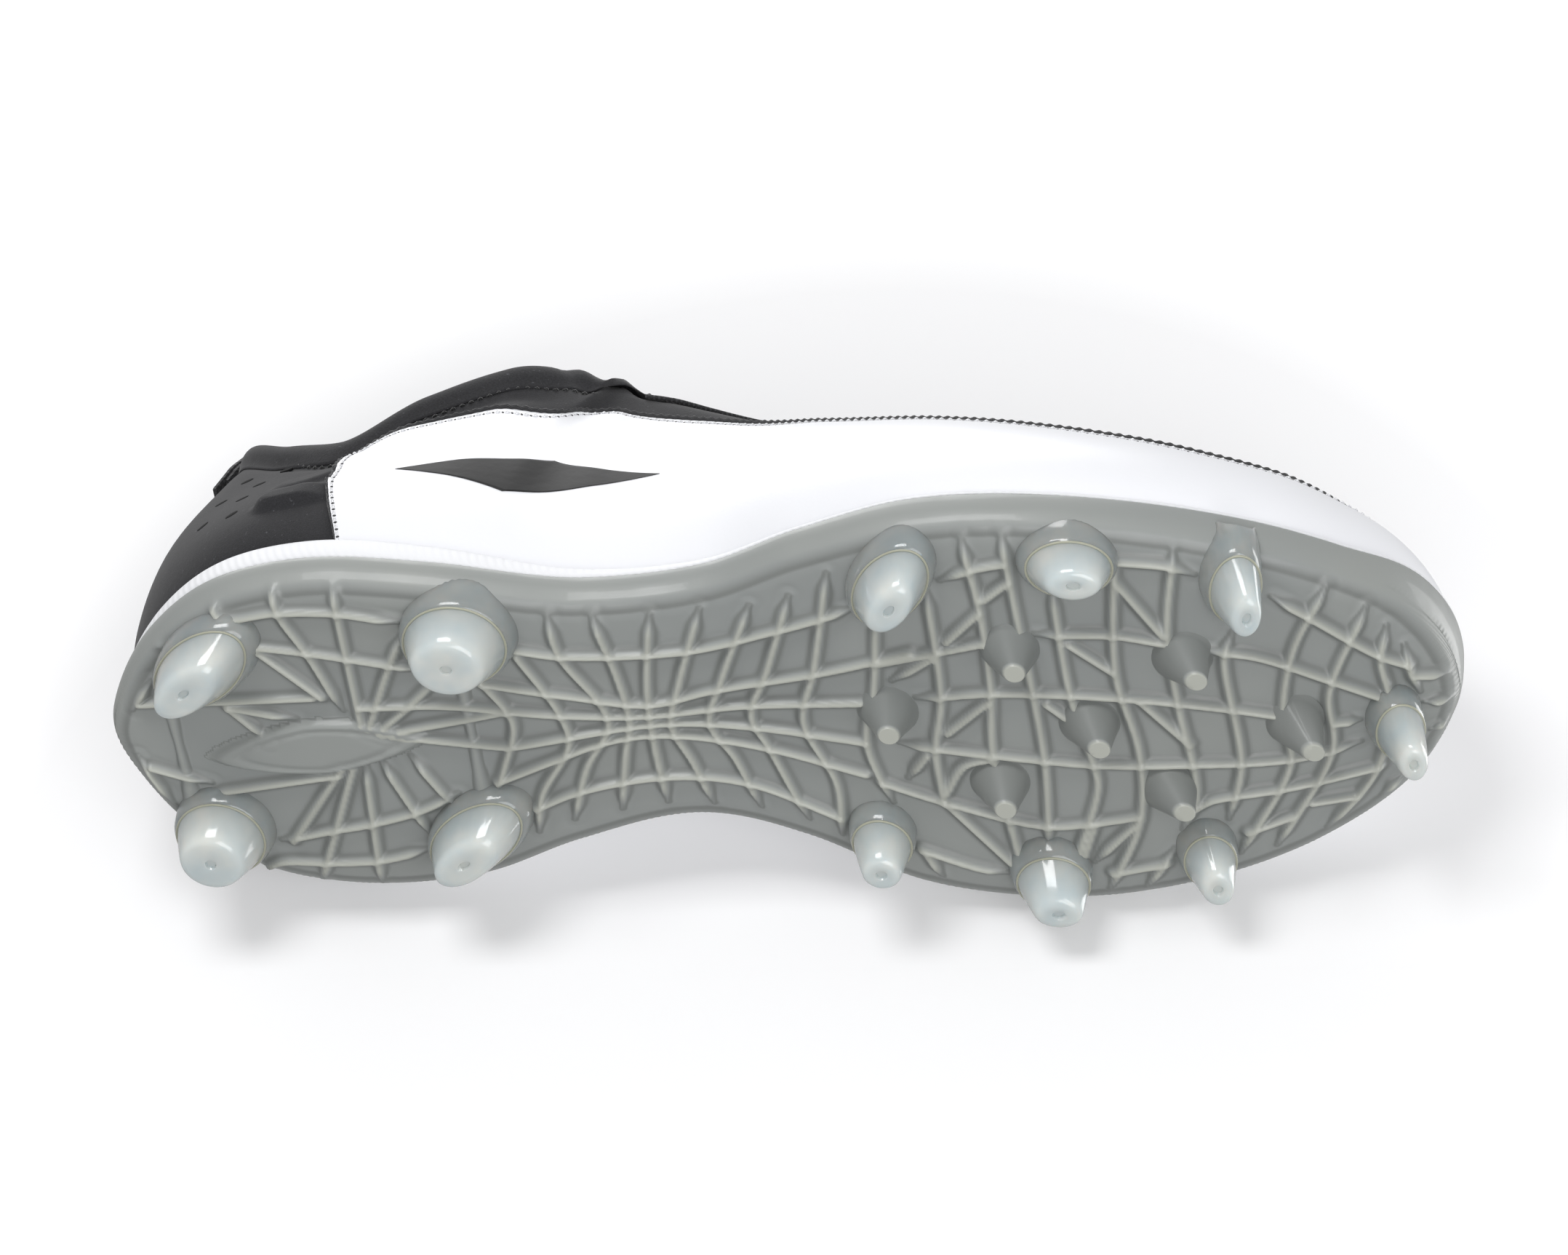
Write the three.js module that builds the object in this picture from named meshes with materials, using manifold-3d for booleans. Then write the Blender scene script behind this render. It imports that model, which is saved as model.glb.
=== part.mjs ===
// Moulded-stud cleat for a right foot, built from separate pieces.
// Millimetres, +Z up, toe towards -Y, lateral (outer) side towards -X, stud tips on z = 0.
//
// Shapes are laid out in last coordinates (s, t, h): s runs from the back of the heel to the
// toe, t runs from the centre line to the lateral side, and h runs up from the ground.

import * as THREE from 'three';
import { mergeVertices } from 'three/addons/utils/BufferGeometryUtils.js';
import Module from 'manifold-3d';

const wasm = await Module();
wasm.setup();

// ---- Driving dimensions ---------------------------------------------------------------

const STUD_HEIGHT = 12.5;      // ground to the flat underside of the plate
const ARCH_RISE = 4;           // extra height of the plate under the waist
const ARCH_CENTRE = 138;
const ARCH_SPREAD = 32;
const TOE_SPRING = 15;         // extra height reached TOE_RUN ahead of the ball line
const TOE_START = 215;
const TOE_RUN = 85;

const PLATE_FLOOR = 2.2;       // thickness of the moulded plate
const RIM_LIP = 1.7;           // thickness of the plate's rim at its top
const BOARD_THICK = 1.3;
const SOCKLINER_THICK = 3.2;
const GAP = 0.3;               // clearance between neighbouring pieces
const STATIONS = 30;           // stations from heel to toe on each side
const COLUMNS = 2 * STATIONS;  // stations all the way round
const WRAP_ROWS = 4;           // rows from the feather edge to the wrap's upper edge
const ROWS = 8;                // rows from the feather edge to the topline

// Distances of each layer's faces from the outer face of the bootie, along its normal.
const LAYER = {
  wrap: [0.35, 1.45],
  bootie: [-1.2, 0],
  stiffener: [-2.9, -1.6],
  foam: [-4.5, -1.6],
  lining: [-5.9, -4.9],
  tongue: [-10.2, -6.6],
};

// The widest outline of the sole, heel to toe, as (s, t) on each side.
const LATERAL_OUTLINE = [
  [1, 0], [4, 10], [14, 25], [30, 37.5], [52, 43], [80, 41], [113, 34.5], [138, 36],
  [160, 45.5], [185, 53.5], [210, 54.5], [238, 50], [265, 39.5], [287, 24], [297, 8], [299.5, -6],
];
const MEDIAL_OUTLINE = [
  [1, 0], [4, -12], [13, -28], [29, -41], [52, -46.5], [80, -44], [104, -35], [130, -30],
  [154, -36], [180, -48], [210, -52.5], [240, -49.5], [268, -41], [288, -28.5], [297, -15], [299.5, -6],
];

// ---- Materials ------------------------------------------------------------------------

const material = (color, roughness, metalness = 0) =>
  new THREE.MeshStandardMaterial({ color, roughness, metalness });

const MATERIALS = {
  plate: material(0x8c8e8a, 0.35),
  stud: material(0xc8d2d0, 0.2),
  foamWhite: material(0xf2f3f5, 0.75),
  leather: material(0xf6f7fa, 0.45),
  neoprene: material(0x232326, 0.85),
  webbing: material(0x1c1c20, 0.9),
  lining: material(0x2a2a2e, 0.95),
  board: material(0xd8d6cc, 0.9),
  sockliner: material(0x3a3b40, 0.9),
  stiffener: material(0xb9b4a6, 0.6),
};

// ---- Small tools ----------------------------------------------------------------------

const last = (s, t, h) => new THREE.Vector3(s, t, h);
const lerp = THREE.MathUtils.lerp;
const smoothstep = THREE.MathUtils.smoothstep;

// Last coordinates to the part's own axes: toe to -Y and lateral side to -X.
const toPart = p => new THREE.Vector3(-p.y, -p.x, p.z);

// A smooth function through (x, value) pairs, with flat runs kept flat.
function through(...pairs) {
  const slope = k => {
    if (k === 0 || k === pairs.length - 1) return 0;
    const before = (pairs[k][1] - pairs[k - 1][1]) / (pairs[k][0] - pairs[k - 1][0]);
    const after = (pairs[k + 1][1] - pairs[k][1]) / (pairs[k + 1][0] - pairs[k][0]);
    return before * after <= 0 ? 0 : (2 * before * after) / (before + after);
  };
  return x => {
    if (x <= pairs[0][0]) return pairs[0][1];
    const k = pairs.findIndex(pair => pair[0] >= x);
    if (k < 0) return pairs[pairs.length - 1][1];
    const [x0, y0] = pairs[k - 1];
    const [x1, y1] = pairs[k];
    const span = x1 - x0;
    const u = (x - x0) / span;
    const a = u * u * (3 - 2 * u);
    const b = u * (1 - u) * (1 - u) * span;
    const c = u * u * (u - 1) * span;
    return y0 + (y1 - y0) * a + slope(k - 1) * b + slope(k) * c;
  };
}

// Collects triangles in last coordinates and drops the ones that have collapsed.
class Faces {
  constructor() {
    this.points = [];
  }

  triangle(a, b, c) {
    const tiny = 1e-6;
    if (a.distanceTo(b) < tiny || b.distanceTo(c) < tiny || c.distanceTo(a) < tiny) return;
    this.points.push(a, b, c);
  }

  quad(a, b, c, d) {
    this.triangle(a, b, c);
    this.triangle(a, c, d);
  }
}

// One closed body from its triangles, with its faces turned outwards.
function geometryOf(faces) {
  const corners = faces.points.map(toPart);
  let volume = 0;
  for (let k = 0; k < corners.length; k += 3) {
    volume += corners[k].dot(corners[k + 1].clone().cross(corners[k + 2]));
  }
  if (volume < 0) corners.reverse();
  const merged = mergeVertices(new THREE.BufferGeometry().setFromPoints(corners), 1e-4);
  merged.computeVertexNormals();
  return merged;
}

const root = new THREE.Group();

function add(name, geometry, look) {
  const mesh = new THREE.Mesh(geometry, look);
  mesh.name = name;
  root.add(mesh);
}

// ---- Sole surfaces --------------------------------------------------------------------

// Height of the plate's underside above the ground.
function plateBottom(s) {
  const arch = ARCH_RISE * Math.exp(-(((s - ARCH_CENTRE) / ARCH_SPREAD) ** 2));
  const toe = s > TOE_START ? TOE_SPRING * ((s - TOE_START) / TOE_RUN) ** 2 : 0;
  return STUD_HEIGHT + arch + toe;
}

// Heights above plateBottom: the plate's turned-up rim, which rises into a toe bumper, and
// the midsole's floor. The midsole's band shows above the rim by midsoleBand.
const plateRim = through([0, 8], [150, 8], [185, 9.3], [274, 9.3], [293, 13.6], [300, 14.4]);
const midsoleFloor = through([0, 8.6], [70, 8.6], [150, 5.8], [300, 5.6]);
const midsoleBand = through([0, 7.4], [60, 7], [130, 2.6], [190, 1], [300, 1]);

const outline = new THREE.CatmullRomCurve3(
  [...LATERAL_OUTLINE, ...MEDIAL_OUTLINE.slice(1, -1).reverse()].map(([s, t]) => last(s, t, 0)),
  true,
  'centripetal',
);

const wrapIndex = i => (i + COLUMNS) % COLUMNS;
const outlineAt = i => outline.getPoint(wrapIndex(i) / COLUMNS);

// The outward normal of the outline in plan.
function outlineNormal(i) {
  const step = 0.25;
  const along = outline.getPoint((wrapIndex(i) + COLUMNS + step) / COLUMNS % 1)
    .sub(outline.getPoint((wrapIndex(i) + COLUMNS - step) / COLUMNS % 1))
    .normalize();
  return last(-along.y, along.x, 0);
}

// A closed ring around the shoe, inset from the outline, with its height given by s. The
// inset is a number or a function of s.
function ring(inset, height) {
  return Array.from({ length: COLUMNS }, (_, i) => {
    const distance = typeof inset === 'function' ? inset(pairS(i)) : inset;
    const p = outlineAt(i).addScaledVector(outlineNormal(i), -distance);
    p.z = height(p.x);
    return p;
  });
}

// Fills a ring with strips from the lateral side to the medial side.
function fill(faces, loop, reversed) {
  for (let i = 0; i < STATIONS; i++) {
    const a = loop[i];
    const b = loop[i + 1];
    const c = loop[wrapIndex(COLUMNS - i)];
    const d = loop[COLUMNS - i - 1];
    if (reversed) faces.quad(a, c, d, b);
    else faces.quad(a, b, d, c);
  }
}

// A dish made of rings, closed by filling its first and last ring.
function dish(rings) {
  const faces = new Faces();
  fill(faces, rings[0], true);
  for (let k = 0; k < rings.length - 1; k++) {
    for (let i = 0; i < COLUMNS; i++) {
      const j = wrapIndex(i + 1);
      faces.quad(rings[k][i], rings[k][j], rings[k + 1][j], rings[k + 1][i]);
    }
  }
  fill(faces, rings[rings.length - 1], false);
  return geometryOf(faces);
}

const above = rise => s => plateBottom(s) + rise;
const rimTop = extra => s => plateBottom(s) + plateRim(s) + extra;

// ---- Outsole plate --------------------------------------------------------------------

function solidOf(geometry) {
  const bare = new THREE.BufferGeometry();
  bare.setAttribute('position', geometry.getAttribute('position').clone());
  bare.setIndex(geometry.getIndex());
  const merged = mergeVertices(bare, 1e-4);
  return new wasm.Manifold(new wasm.Mesh({
    numProp: 3,
    vertProperties: Float32Array.from(merged.getAttribute('position').array),
    triVerts: Uint32Array.from(merged.getIndex().array),
  }));
}

function geometryFrom(solid) {
  const mesh = solid.getMesh();
  const geometry = new THREE.BufferGeometry();
  geometry.setAttribute('position', new THREE.BufferAttribute(mesh.vertProperties, 3));
  geometry.setIndex(new THREE.BufferAttribute(mesh.triVerts, 1));
  geometry.computeVertexNormals();
  return geometry;
}

// The seven grey studs moulded with the plate: base (s, t) and tip (s, t).
const SMALL_STUDS = [
  [177, 3.5, 178, 4.5], [204.5, 20.5, 206.5, 21.5], [240.5, 16.5, 244.5, 17.5],
  [220, 0, 223, 0.5], [199.5, -16, 201.5, -16], [235.5, -19, 240, -18], [263, -4, 268, -5],
];
const SMALL_STUD = { base: 6, tip: 2.3, height: 10.2, sides: 12, sunk: 1 };

function smallStud([s0, t0, s1, t1]) {
  const floor = plateBottom(s0);
  const circle = (s, t, radius, h) => Array.from({ length: SMALL_STUD.sides }, (_, k) => {
    const angle = (k / SMALL_STUD.sides) * 2 * Math.PI;
    return last(s + radius * Math.cos(angle), t + radius * Math.sin(angle), h);
  });
  return stack([
    circle(s0, t0, SMALL_STUD.base, floor + SMALL_STUD.sunk),
    circle(s0, t0, SMALL_STUD.base * 0.92, floor - 2),
    circle(s1, t1, SMALL_STUD.tip, floor - SMALL_STUD.height),
  ]);
}

// Stacks small rings of equal length into a closed body with fanned ends.
function stack(rings) {
  const faces = new Faces();
  const centre = loop => loop.reduce((sum, p) => sum.add(p), last(0, 0, 0)).divideScalar(loop.length);
  const count = rings[0].length;
  const first = centre(rings[0]);
  const end = centre(rings[rings.length - 1]);
  for (let i = 0; i < count; i++) {
    const j = (i + 1) % count;
    faces.triangle(rings[0][j], rings[0][i], first);
    for (let k = 0; k < rings.length - 1; k++) {
      faces.quad(rings[k][i], rings[k][j], rings[k + 1][j], rings[k + 1][i]);
    }
    faces.triangle(rings[rings.length - 1][i], rings[rings.length - 1][j], end);
  }
  return geometryOf(faces);
}

function outsolePlate() {
  const shell = dish([
    ring(3.2, above(0)),
    ring(1.4, above(2)),
    ring(0, rimTop(0)),
    ring(RIM_LIP, rimTop(0)),
    ring(2 * RIM_LIP, above(PLATE_FLOOR)),
  ]);
  const solid = SMALL_STUDS.reduce((sum, stud) => sum.add(solidOf(smallStud(stud))), solidOf(shell));
  return geometryFrom(solid);
}

// ---- Clear studs ----------------------------------------------------------------------

// Base centre, base half-lengths, turn in degrees from s towards t, then tip centre,
// tip height above the ground and tip half-lengths.
const CLEAR_STUDS = {
  stud_heel_lateral_rear: [28.5, 22, 15, 9.2, 42, 25.5, 21.5, 0, 9, 4.6],
  stud_heel_lateral_front: [85.5, 27, 12.8, 12, 0, 85, 27, 0, 7.6, 7],
  stud_heel_medial_rear: [23, -26, 11.4, 11.4, 0, 22, -27, 0, 7, 7],
  stud_heel_medial_front: [82, -27, 14.6, 9.2, 40, 80, -28, 0, 8.6, 4.6],
  stud_fore_lateral_rear: [181, 40, 13, 8.2, 55, 182, 40.5, 0, 6.5, 3.8],
  stud_fore_lateral_mid: [218.5, 43.5, 10.6, 8.6, 0, 221, 46, 0, 5.4, 3.6],
  stud_fore_lateral_front: [252, 37, 10, 6.2, 80, 256, 35, 2, 5, 3],
  stud_fore_medial_rear: [172, -30.5, 7.6, 8.2, 0, 173, -32, 0, 4.2, 4.2],
  stud_fore_medial_mid: [208.5, -41, 9.2, 9, 0, 211, -44, 0, 5.2, 4],
  stud_fore_medial_front: [243, -37, 6.6, 8.4, 0, 246, -39, 2, 3.4, 4.6],
  stud_toe: [284.5, -7.5, 6, 8.4, 0, 289, -7.5, 5.5, 3, 4.6],
};
const STUD_SIDES = 14;

// How the stud narrows from its base (0) to its tip (1): [depth, share of the taper].
const STUD_PROFILE = [[0, 0], [0.16, 0.06], [0.2, 0.22], [0.6, 0.58], [0.93, 0.88], [1, 1.12]];

function clearStud([s0, t0, a0, b0, turn, s1, t1, tipHeight, a1, b1]) {
  const tilt = THREE.MathUtils.degToRad(turn);
  const ringAt = ([depth, taper]) => Array.from({ length: STUD_SIDES }, (_, k) => {
    const angle = (k / STUD_SIDES) * 2 * Math.PI;
    const x = lerp(a0, a1, taper) * Math.cos(angle);
    const y = lerp(b0, b1, taper) * Math.sin(angle);
    const s = lerp(s0, s1, depth) + x * Math.cos(tilt) - y * Math.sin(tilt);
    const t = lerp(t0, t1, depth) + x * Math.sin(tilt) + y * Math.cos(tilt);
    return last(s, t, lerp(plateBottom(s) - GAP, tipHeight, depth));
  });
  return stack(STUD_PROFILE.map(ringAt));
}

// ---- Midsole, boards and sockliner ----------------------------------------------------

const floorOf = extra => s => plateBottom(s) + midsoleFloor(s) + extra;

// A dish inside the plate's rim, with a band standing on top of the rim and over it.
function midsole() {
  const bandTop = s => rimTop(2 * GAP + midsoleBand(s))(s);
  const inRim = RIM_LIP + 2 * GAP;
  const bandThick = 1.6;
  const bandInset = 0.8;
  return dish([
    ring(2 * RIM_LIP + 0.5, above(PLATE_FLOOR + GAP)),
    ring(inRim, rimTop(0)),
    ring(inRim - 0.1, rimTop(2 * GAP)),
    ring(GAP, rimTop(2 * GAP)),
    ring(bandInset, bandTop),
    ring(bandInset + bandThick, bandTop),
    ring(4.7, floorOf(0)),
  ]);
}

// Boards and sockliner lie inside the lining, which stands INSIDE from the feather edge.
const INSIDE = 6.5;
const insideBy = extra => s => featherInset(s) + INSIDE + extra;

const lastingBoard = () => dish([
  ring(insideBy(GAP), floorOf(GAP)),
  ring(insideBy(0), floorOf(GAP + BOARD_THICK)),
]);

// The cup is the height of the sockliner's lip above its own top face.
function sockliner() {
  const cup = through([0, 7], [80, 5], [130, 2.4], [300, 1.6]);
  const under = 2 * GAP + BOARD_THICK;
  const lip = s => floorOf(under + SOCKLINER_THICK)(s) + cup(s);
  return dish([
    ring(insideBy(1.2), floorOf(under)),
    ring(insideBy(0.2), floorOf(under + 0.75 * SOCKLINER_THICK)),
    ring(insideBy(0.1), lip),
    ring(insideBy(1.7), lip),
    ring(insideBy(6), floorOf(under + SOCKLINER_THICK)),
  ]);
}

// ---- Upper surface --------------------------------------------------------------------

// The topline and the ridge of the instep, by the s of the column's foot on the outline.
const topS = through([0, 14], [8, 19], [20, 32], [35, 46], [55, 64], [75, 82], [88, 93],
  [106, 107], [250, 250], [300, 262]);
const topT = through([0, 0], [8, 13], [20, 22], [35, 28], [55, 31], [75, 31], [88, 25], [106, 0]);
const ankleH = through([0, 112], [8, 107], [20, 92], [35, 82], [55, 95], [75, 107], [88, 112],
  [106, 118]);
const ridgeH = through([95, 120], [125, 115], [153, 104], [190, 91], [223, 82], [244, 76], [262, 71]);

// Share of the way to the ridge that the side panels cover: short of it along the throat.
const sideReach = through([88, 1], [105, 0.8], [194, 0.8], [203, 1]);
// Share of the way at which the white wrap ends.
const wrapReach = through([40, 0.5], [56, 0.62], [75, 0.68], [90, 0.7], [106, 0.66], [142, 0.62],
  [160, 0.56], [180, 0.5], [200, 0.46], [240, 0.43], [262, 0.45], [285, 0.56], [299, 0.64]);
// How far the side swells out of the feather edge.
const swell = through([0, 14], [30, 14], [60, 11], [110, 14], [150, 18], [230, 18], [262, 16],
  [280, 12], [299, 10]);

// How far the side swells just under the topline.
const ankleSwell = through([0, 7], [30, 5], [60, 3]);
// The curve's upper handle lies this far below the topline, as a share of the side's rise.
const ANKLE_DROP = 0.38;
// How broad the top of the instep is, as a share of the half-width, and how far it falls away.
const RIDGE_DROP = 1.5;
const ridgeWidth = through([100, 0.86], [150, 0.8], [190, 0.72], [240, 0.7], [300, 0.6]);

// How far the feather edge stands inside the outline, and how upright the side leaves it.
const featherInset = through([0, 6], [60, 6.9], [262, 7], [285, 7.4], [300, 7.4]);
const upright = through([0, 0.36], [240, 0.36], [285, 0.5], [300, 0.5]);

// The mean s of a lateral column and its medial partner, which meet at the same ridge point.
const pairS = i => (outlineAt(i).x + outlineAt(COLUMNS - i).x) / 2;

function columnCurve(i) {
  const side = wrapIndex(i) <= STATIONS ? 1 : -1;
  const out = outlineNormal(i);
  const foot = outlineAt(i).addScaledVector(out, -featherInset(pairS(i)));
  foot.z = floorOf(3 * GAP)(foot.x);
  const s = pairS(i);
  const toRidge = smoothstep(s, 88, 106);
  const top = last(topS(s), side * topT(s), 0);
  top.z = lerp(ankleH(s), ridgeH(top.x), toRidge);
  const rise = top.z - foot.z;
  const low = foot.clone().addScaledVector(out, swell(s));
  low.z += upright(s) * rise;
  const ankle = top.clone().addScaledVector(out, ankleSwell(s));
  ankle.z -= ANKLE_DROP * rise;
  const across = last(foot.x - top.x, foot.y - top.y, 0);
  const ridge = top.clone().addScaledVector(across, ridgeWidth(s));
  ridge.z -= RIDGE_DROP;
  return new THREE.CubicBezierCurve3(foot, low, ankle.lerp(ridge, toRidge), top);
}

const known = new Map();
function column(i) {
  const key = wrapIndex(i);
  if (!known.has(key)) known.set(key, columnCurve(key));
  return known.get(key);
}

// Fraction of the column's curve at a row, where row WRAP_ROWS is the wrap's upper edge.
function rowFraction(i, row) {
  const s = pairS(i);
  const wrap = wrapReach(s);
  if (row <= WRAP_ROWS) return (wrap * row) / WRAP_ROWS;
  return lerp(wrap, sideReach(s), (row - WRAP_ROWS) / (ROWS - WRAP_ROWS));
}

// Up to this share of a column the offset is turned towards level, to keep the feather edge flat.
const LEVEL_UNTIL = 0.22;

// A point of the upper at column i and curve fraction f, moved along the normal by offset.
function upperPoint(i, f, offset) {
  const step = 0.01;
  const here = column(i);
  const around = column(i + 1).getPoint(f).sub(column(i - 1).getPoint(f));
  const up = here.getPoint(Math.min(f + step, 1)).sub(here.getPoint(Math.max(f - step, 0)));
  const normal = up.cross(around);
  normal.z *= smoothstep(f, 0, LEVEL_UNTIL);
  return here.getPoint(f).addScaledVector(normal.normalize(), offset);
}

// The same on the centre ridge, where the lateral and medial columns share their end.
function ridgePoint(station, offset) {
  const top = column(station).getPoint(1);
  const slope = ridgeH(top.x + 1) - ridgeH(top.x - 1);
  return top.addScaledVector(last(-slope / 2, 0, 1).normalize(), offset);
}

// The station of a column, counted from the heel on either side.
const stationOf = i => Math.min(wrapIndex(i), COLUMNS - wrapIndex(i));

// First station whose column reaches the centre ridge, closing the toe box.
const INSTEP_FROM = 150;
const FULL_REACH = 0.999;
const closedStation = Array.from({ length: STATIONS }, (_, i) => i)
  .find(i => pairS(i) > INSTEP_FROM && sideReach(pairS(i)) > FULL_REACH);
const isClosed = i => stationOf(i) >= closedStation;

function gridPoint(i, row, offset) {
  if (row === ROWS && isClosed(i)) return ridgePoint(stationOf(i), offset);
  return upperPoint(i, rowFraction(i, row), offset);
}

// The whole numbers from..to, both included.
const range = (from, to) => Array.from({ length: to - from + 1 }, (_, k) => from + k);

// A shell patch over a list of columns and rows low..high of the upper's grid.
function patch([inner, outer], across, low, high) {
  const rows = range(low, high);
  const face = offset => across.map(i => rows.map(row => gridPoint(i, row, offset)));
  return sheet(face(outer), face(inner));
}

// A whole sock: every column, open at the ankle and throat and joined along the toe ridge.
function sock([inner, outer]) {
  const faces = new Faces();
  const out = range(0, ROWS).map(row => range(0, COLUMNS).map(i => gridPoint(i, row, outer)));
  const back = range(0, ROWS).map(row => range(0, COLUMNS).map(i => gridPoint(i, row, inner)));
  for (let i = 0; i < COLUMNS; i++) {
    const j = i + 1;
    for (let row = 0; row < ROWS; row++) {
      faces.quad(out[row][i], out[row][j], out[row + 1][j], out[row + 1][i]);
      faces.quad(back[row][i], back[row + 1][i], back[row + 1][j], back[row][j]);
    }
    faces.quad(back[0][i], back[0][j], out[0][j], out[0][i]);
    if (isClosed(i) && isClosed(j)) continue;
    faces.quad(out[ROWS][i], out[ROWS][j], back[ROWS][j], back[ROWS][i]);
  }
  return geometryOf(faces);
}

const stationAt = s => Array.from({ length: STATIONS }, (_, i) => i).find(i => pairS(i) >= s);

// ---- Tongue ---------------------------------------------------------------------------

const TONGUE = { top: 105, toe: 195, reach: 0.7, halves: 4, lean: 38, thick: 3.4 };

// One row of the tongue across the instep, from its lateral edge to its medial edge.
function tongueRow(station, offset) {
  const half = range(0, TONGUE.halves - 1).map(k => lerp(TONGUE.reach, 1, k / TONGUE.halves));
  return [
    ...half.map(f => upperPoint(station, f, offset)),
    ridgePoint(station, offset),
    ...half.reverse().map(f => upperPoint(COLUMNS - station, f, offset)),
  ];
}

// A closed sheet between two lists of rows.
function sheet(outer, inner) {
  const faces = new Faces();
  const rows = outer.length - 1;
  const across = outer[0].length - 1;
  for (let k = 0; k < rows; k++) {
    for (let j = 0; j < across; j++) {
      faces.quad(outer[k][j], outer[k][j + 1], outer[k + 1][j + 1], outer[k + 1][j]);
      faces.quad(inner[k][j], inner[k + 1][j], inner[k + 1][j + 1], inner[k][j + 1]);
    }
    faces.quad(inner[k][0], outer[k][0], outer[k + 1][0], inner[k + 1][0]);
    faces.quad(outer[k][across], inner[k][across], inner[k + 1][across], outer[k + 1][across]);
  }
  for (let j = 0; j < across; j++) {
    faces.quad(inner[0][j], inner[0][j + 1], outer[0][j + 1], outer[0][j]);
    faces.quad(outer[rows][j], outer[rows][j + 1], inner[rows][j + 1], inner[rows][j]);
  }
  return geometryOf(faces);
}

const tongueTopStation = stationAt(TONGUE.top);

function tongue() {
  const stations = range(tongueTopStation, stationAt(TONGUE.toe));
  return sheet(
    stations.map(k => tongueRow(k, LAYER.tongue[1])),
    stations.map(k => tongueRow(k, LAYER.tongue[0])),
  );
}

// The free top of the tongue, which carries on from the tongue's first row and widens above
// the throat. Its rows curve back round the shin.
const FLAP_ROWS = [[1.2, 10, 2.4], [7, 11.5, 2.8], [14, 15, 4.4], [22, 17.5, 6], [27, 15, 5]];

function tongueTop() {
  const lean = THREE.MathUtils.degToRad(TONGUE.lean);
  const way = last(-Math.cos(lean), 0, Math.sin(lean));
  const forward = last(Math.sin(lean), 0, Math.cos(lean));
  const across = range(-TONGUE.halves, TONGUE.halves).map(k => -k / TONGUE.halves);
  const row = (offset, [step, half, drop]) => across.map(r => (
    ridgePoint(tongueTopStation, LAYER.tongue[1])
      .addScaledVector(way, step)
      .addScaledVector(forward, offset - drop * r * r)
      .add(last(0, half * r, 0))
  ));
  const rows = offset => FLAP_ROWS.map(numbers => row(offset, numbers));
  return sheet(rows(0), rows(-TONGUE.thick));
}

// ---- Lace and its loops ---------------------------------------------------------------

// Rows of loops lie from s = first to last, lifted off the bootie. A strand runs straight for
// inLoop each side of a loop, crosses over or under between rows, and its bar bows ahead.
const LACE = { radius: 1.15, rows: 5, first: 119, last: 187, lift: 4.15, under: 0.3, over: 2.9,
  inLoop: 4.6, bar: 5, steps: 150 };
const LOOP = { width: 6.6, height: 4.4, hole: 3.3, length: 5.4, tilt: 0.35 };
const THROAT = [95, 205];

// The point of the throat edge at s, between the stations on either side of it.
function throatEdge(s, side) {
  const k = range(stationAt(THROAT[0]), stationAt(THROAT[1]) - 1).find(j => topS(pairS(j + 1)) >= s);
  const low = upperPoint(side > 0 ? k : COLUMNS - k, sideReach(pairS(k)), LACE.lift);
  const high = upperPoint(side > 0 ? k + 1 : COLUMNS - k - 1, sideReach(pairS(k + 1)), LACE.lift);
  return low.lerp(high, THREE.MathUtils.clamp((s - low.x) / (high.x - low.x), 0, 1));
}

const laceRowS = row => lerp(LACE.first, LACE.last, row / (LACE.rows - 1));
const loopCentre = (row, side) => throatEdge(laceRowS(row), side);

// The direction of the throat edge at a loop, which the lace follows inside it.
function loopDirection(row, side) {
  const s = laceRowS(row);
  return throatEdge(s + 4, side).sub(throatEdge(s - 4, side)).normalize();
}

function laceLoop(row, side) {
  const half = { w: LOOP.width / 2, h: LOOP.height / 2, r: LOOP.hole / 2 };
  const shape = new THREE.Shape();
  shape.moveTo(-half.w, -half.h);
  shape.lineTo(half.w, -half.h);
  shape.lineTo(half.w, half.h);
  shape.lineTo(-half.w, half.h);
  const hole = new THREE.Path();
  hole.absarc(0, 0, half.r, 0, 2 * Math.PI, true);
  shape.holes.push(hole);
  const geometry = new THREE.ExtrudeGeometry(shape, {
    depth: LOOP.length, bevelEnabled: false, curveSegments: 5,
  });
  geometry.translate(0, 0, -LOOP.length / 2);
  const along = toPart(loopDirection(row, side));
  const up = new THREE.Vector3(-side * LOOP.tilt, 0, 1);
  const acrossAxis = new THREE.Vector3().crossVectors(up, along).normalize();
  const upAxis = new THREE.Vector3().crossVectors(along, acrossAxis).normalize();
  const turn = new THREE.Matrix4().makeBasis(acrossAxis, upAxis, along);
  const centre = toPart(loopCentre(row, side));
  turn.setPosition(centre);
  geometry.applyMatrix4(turn);
  return geometry;
}

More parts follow.
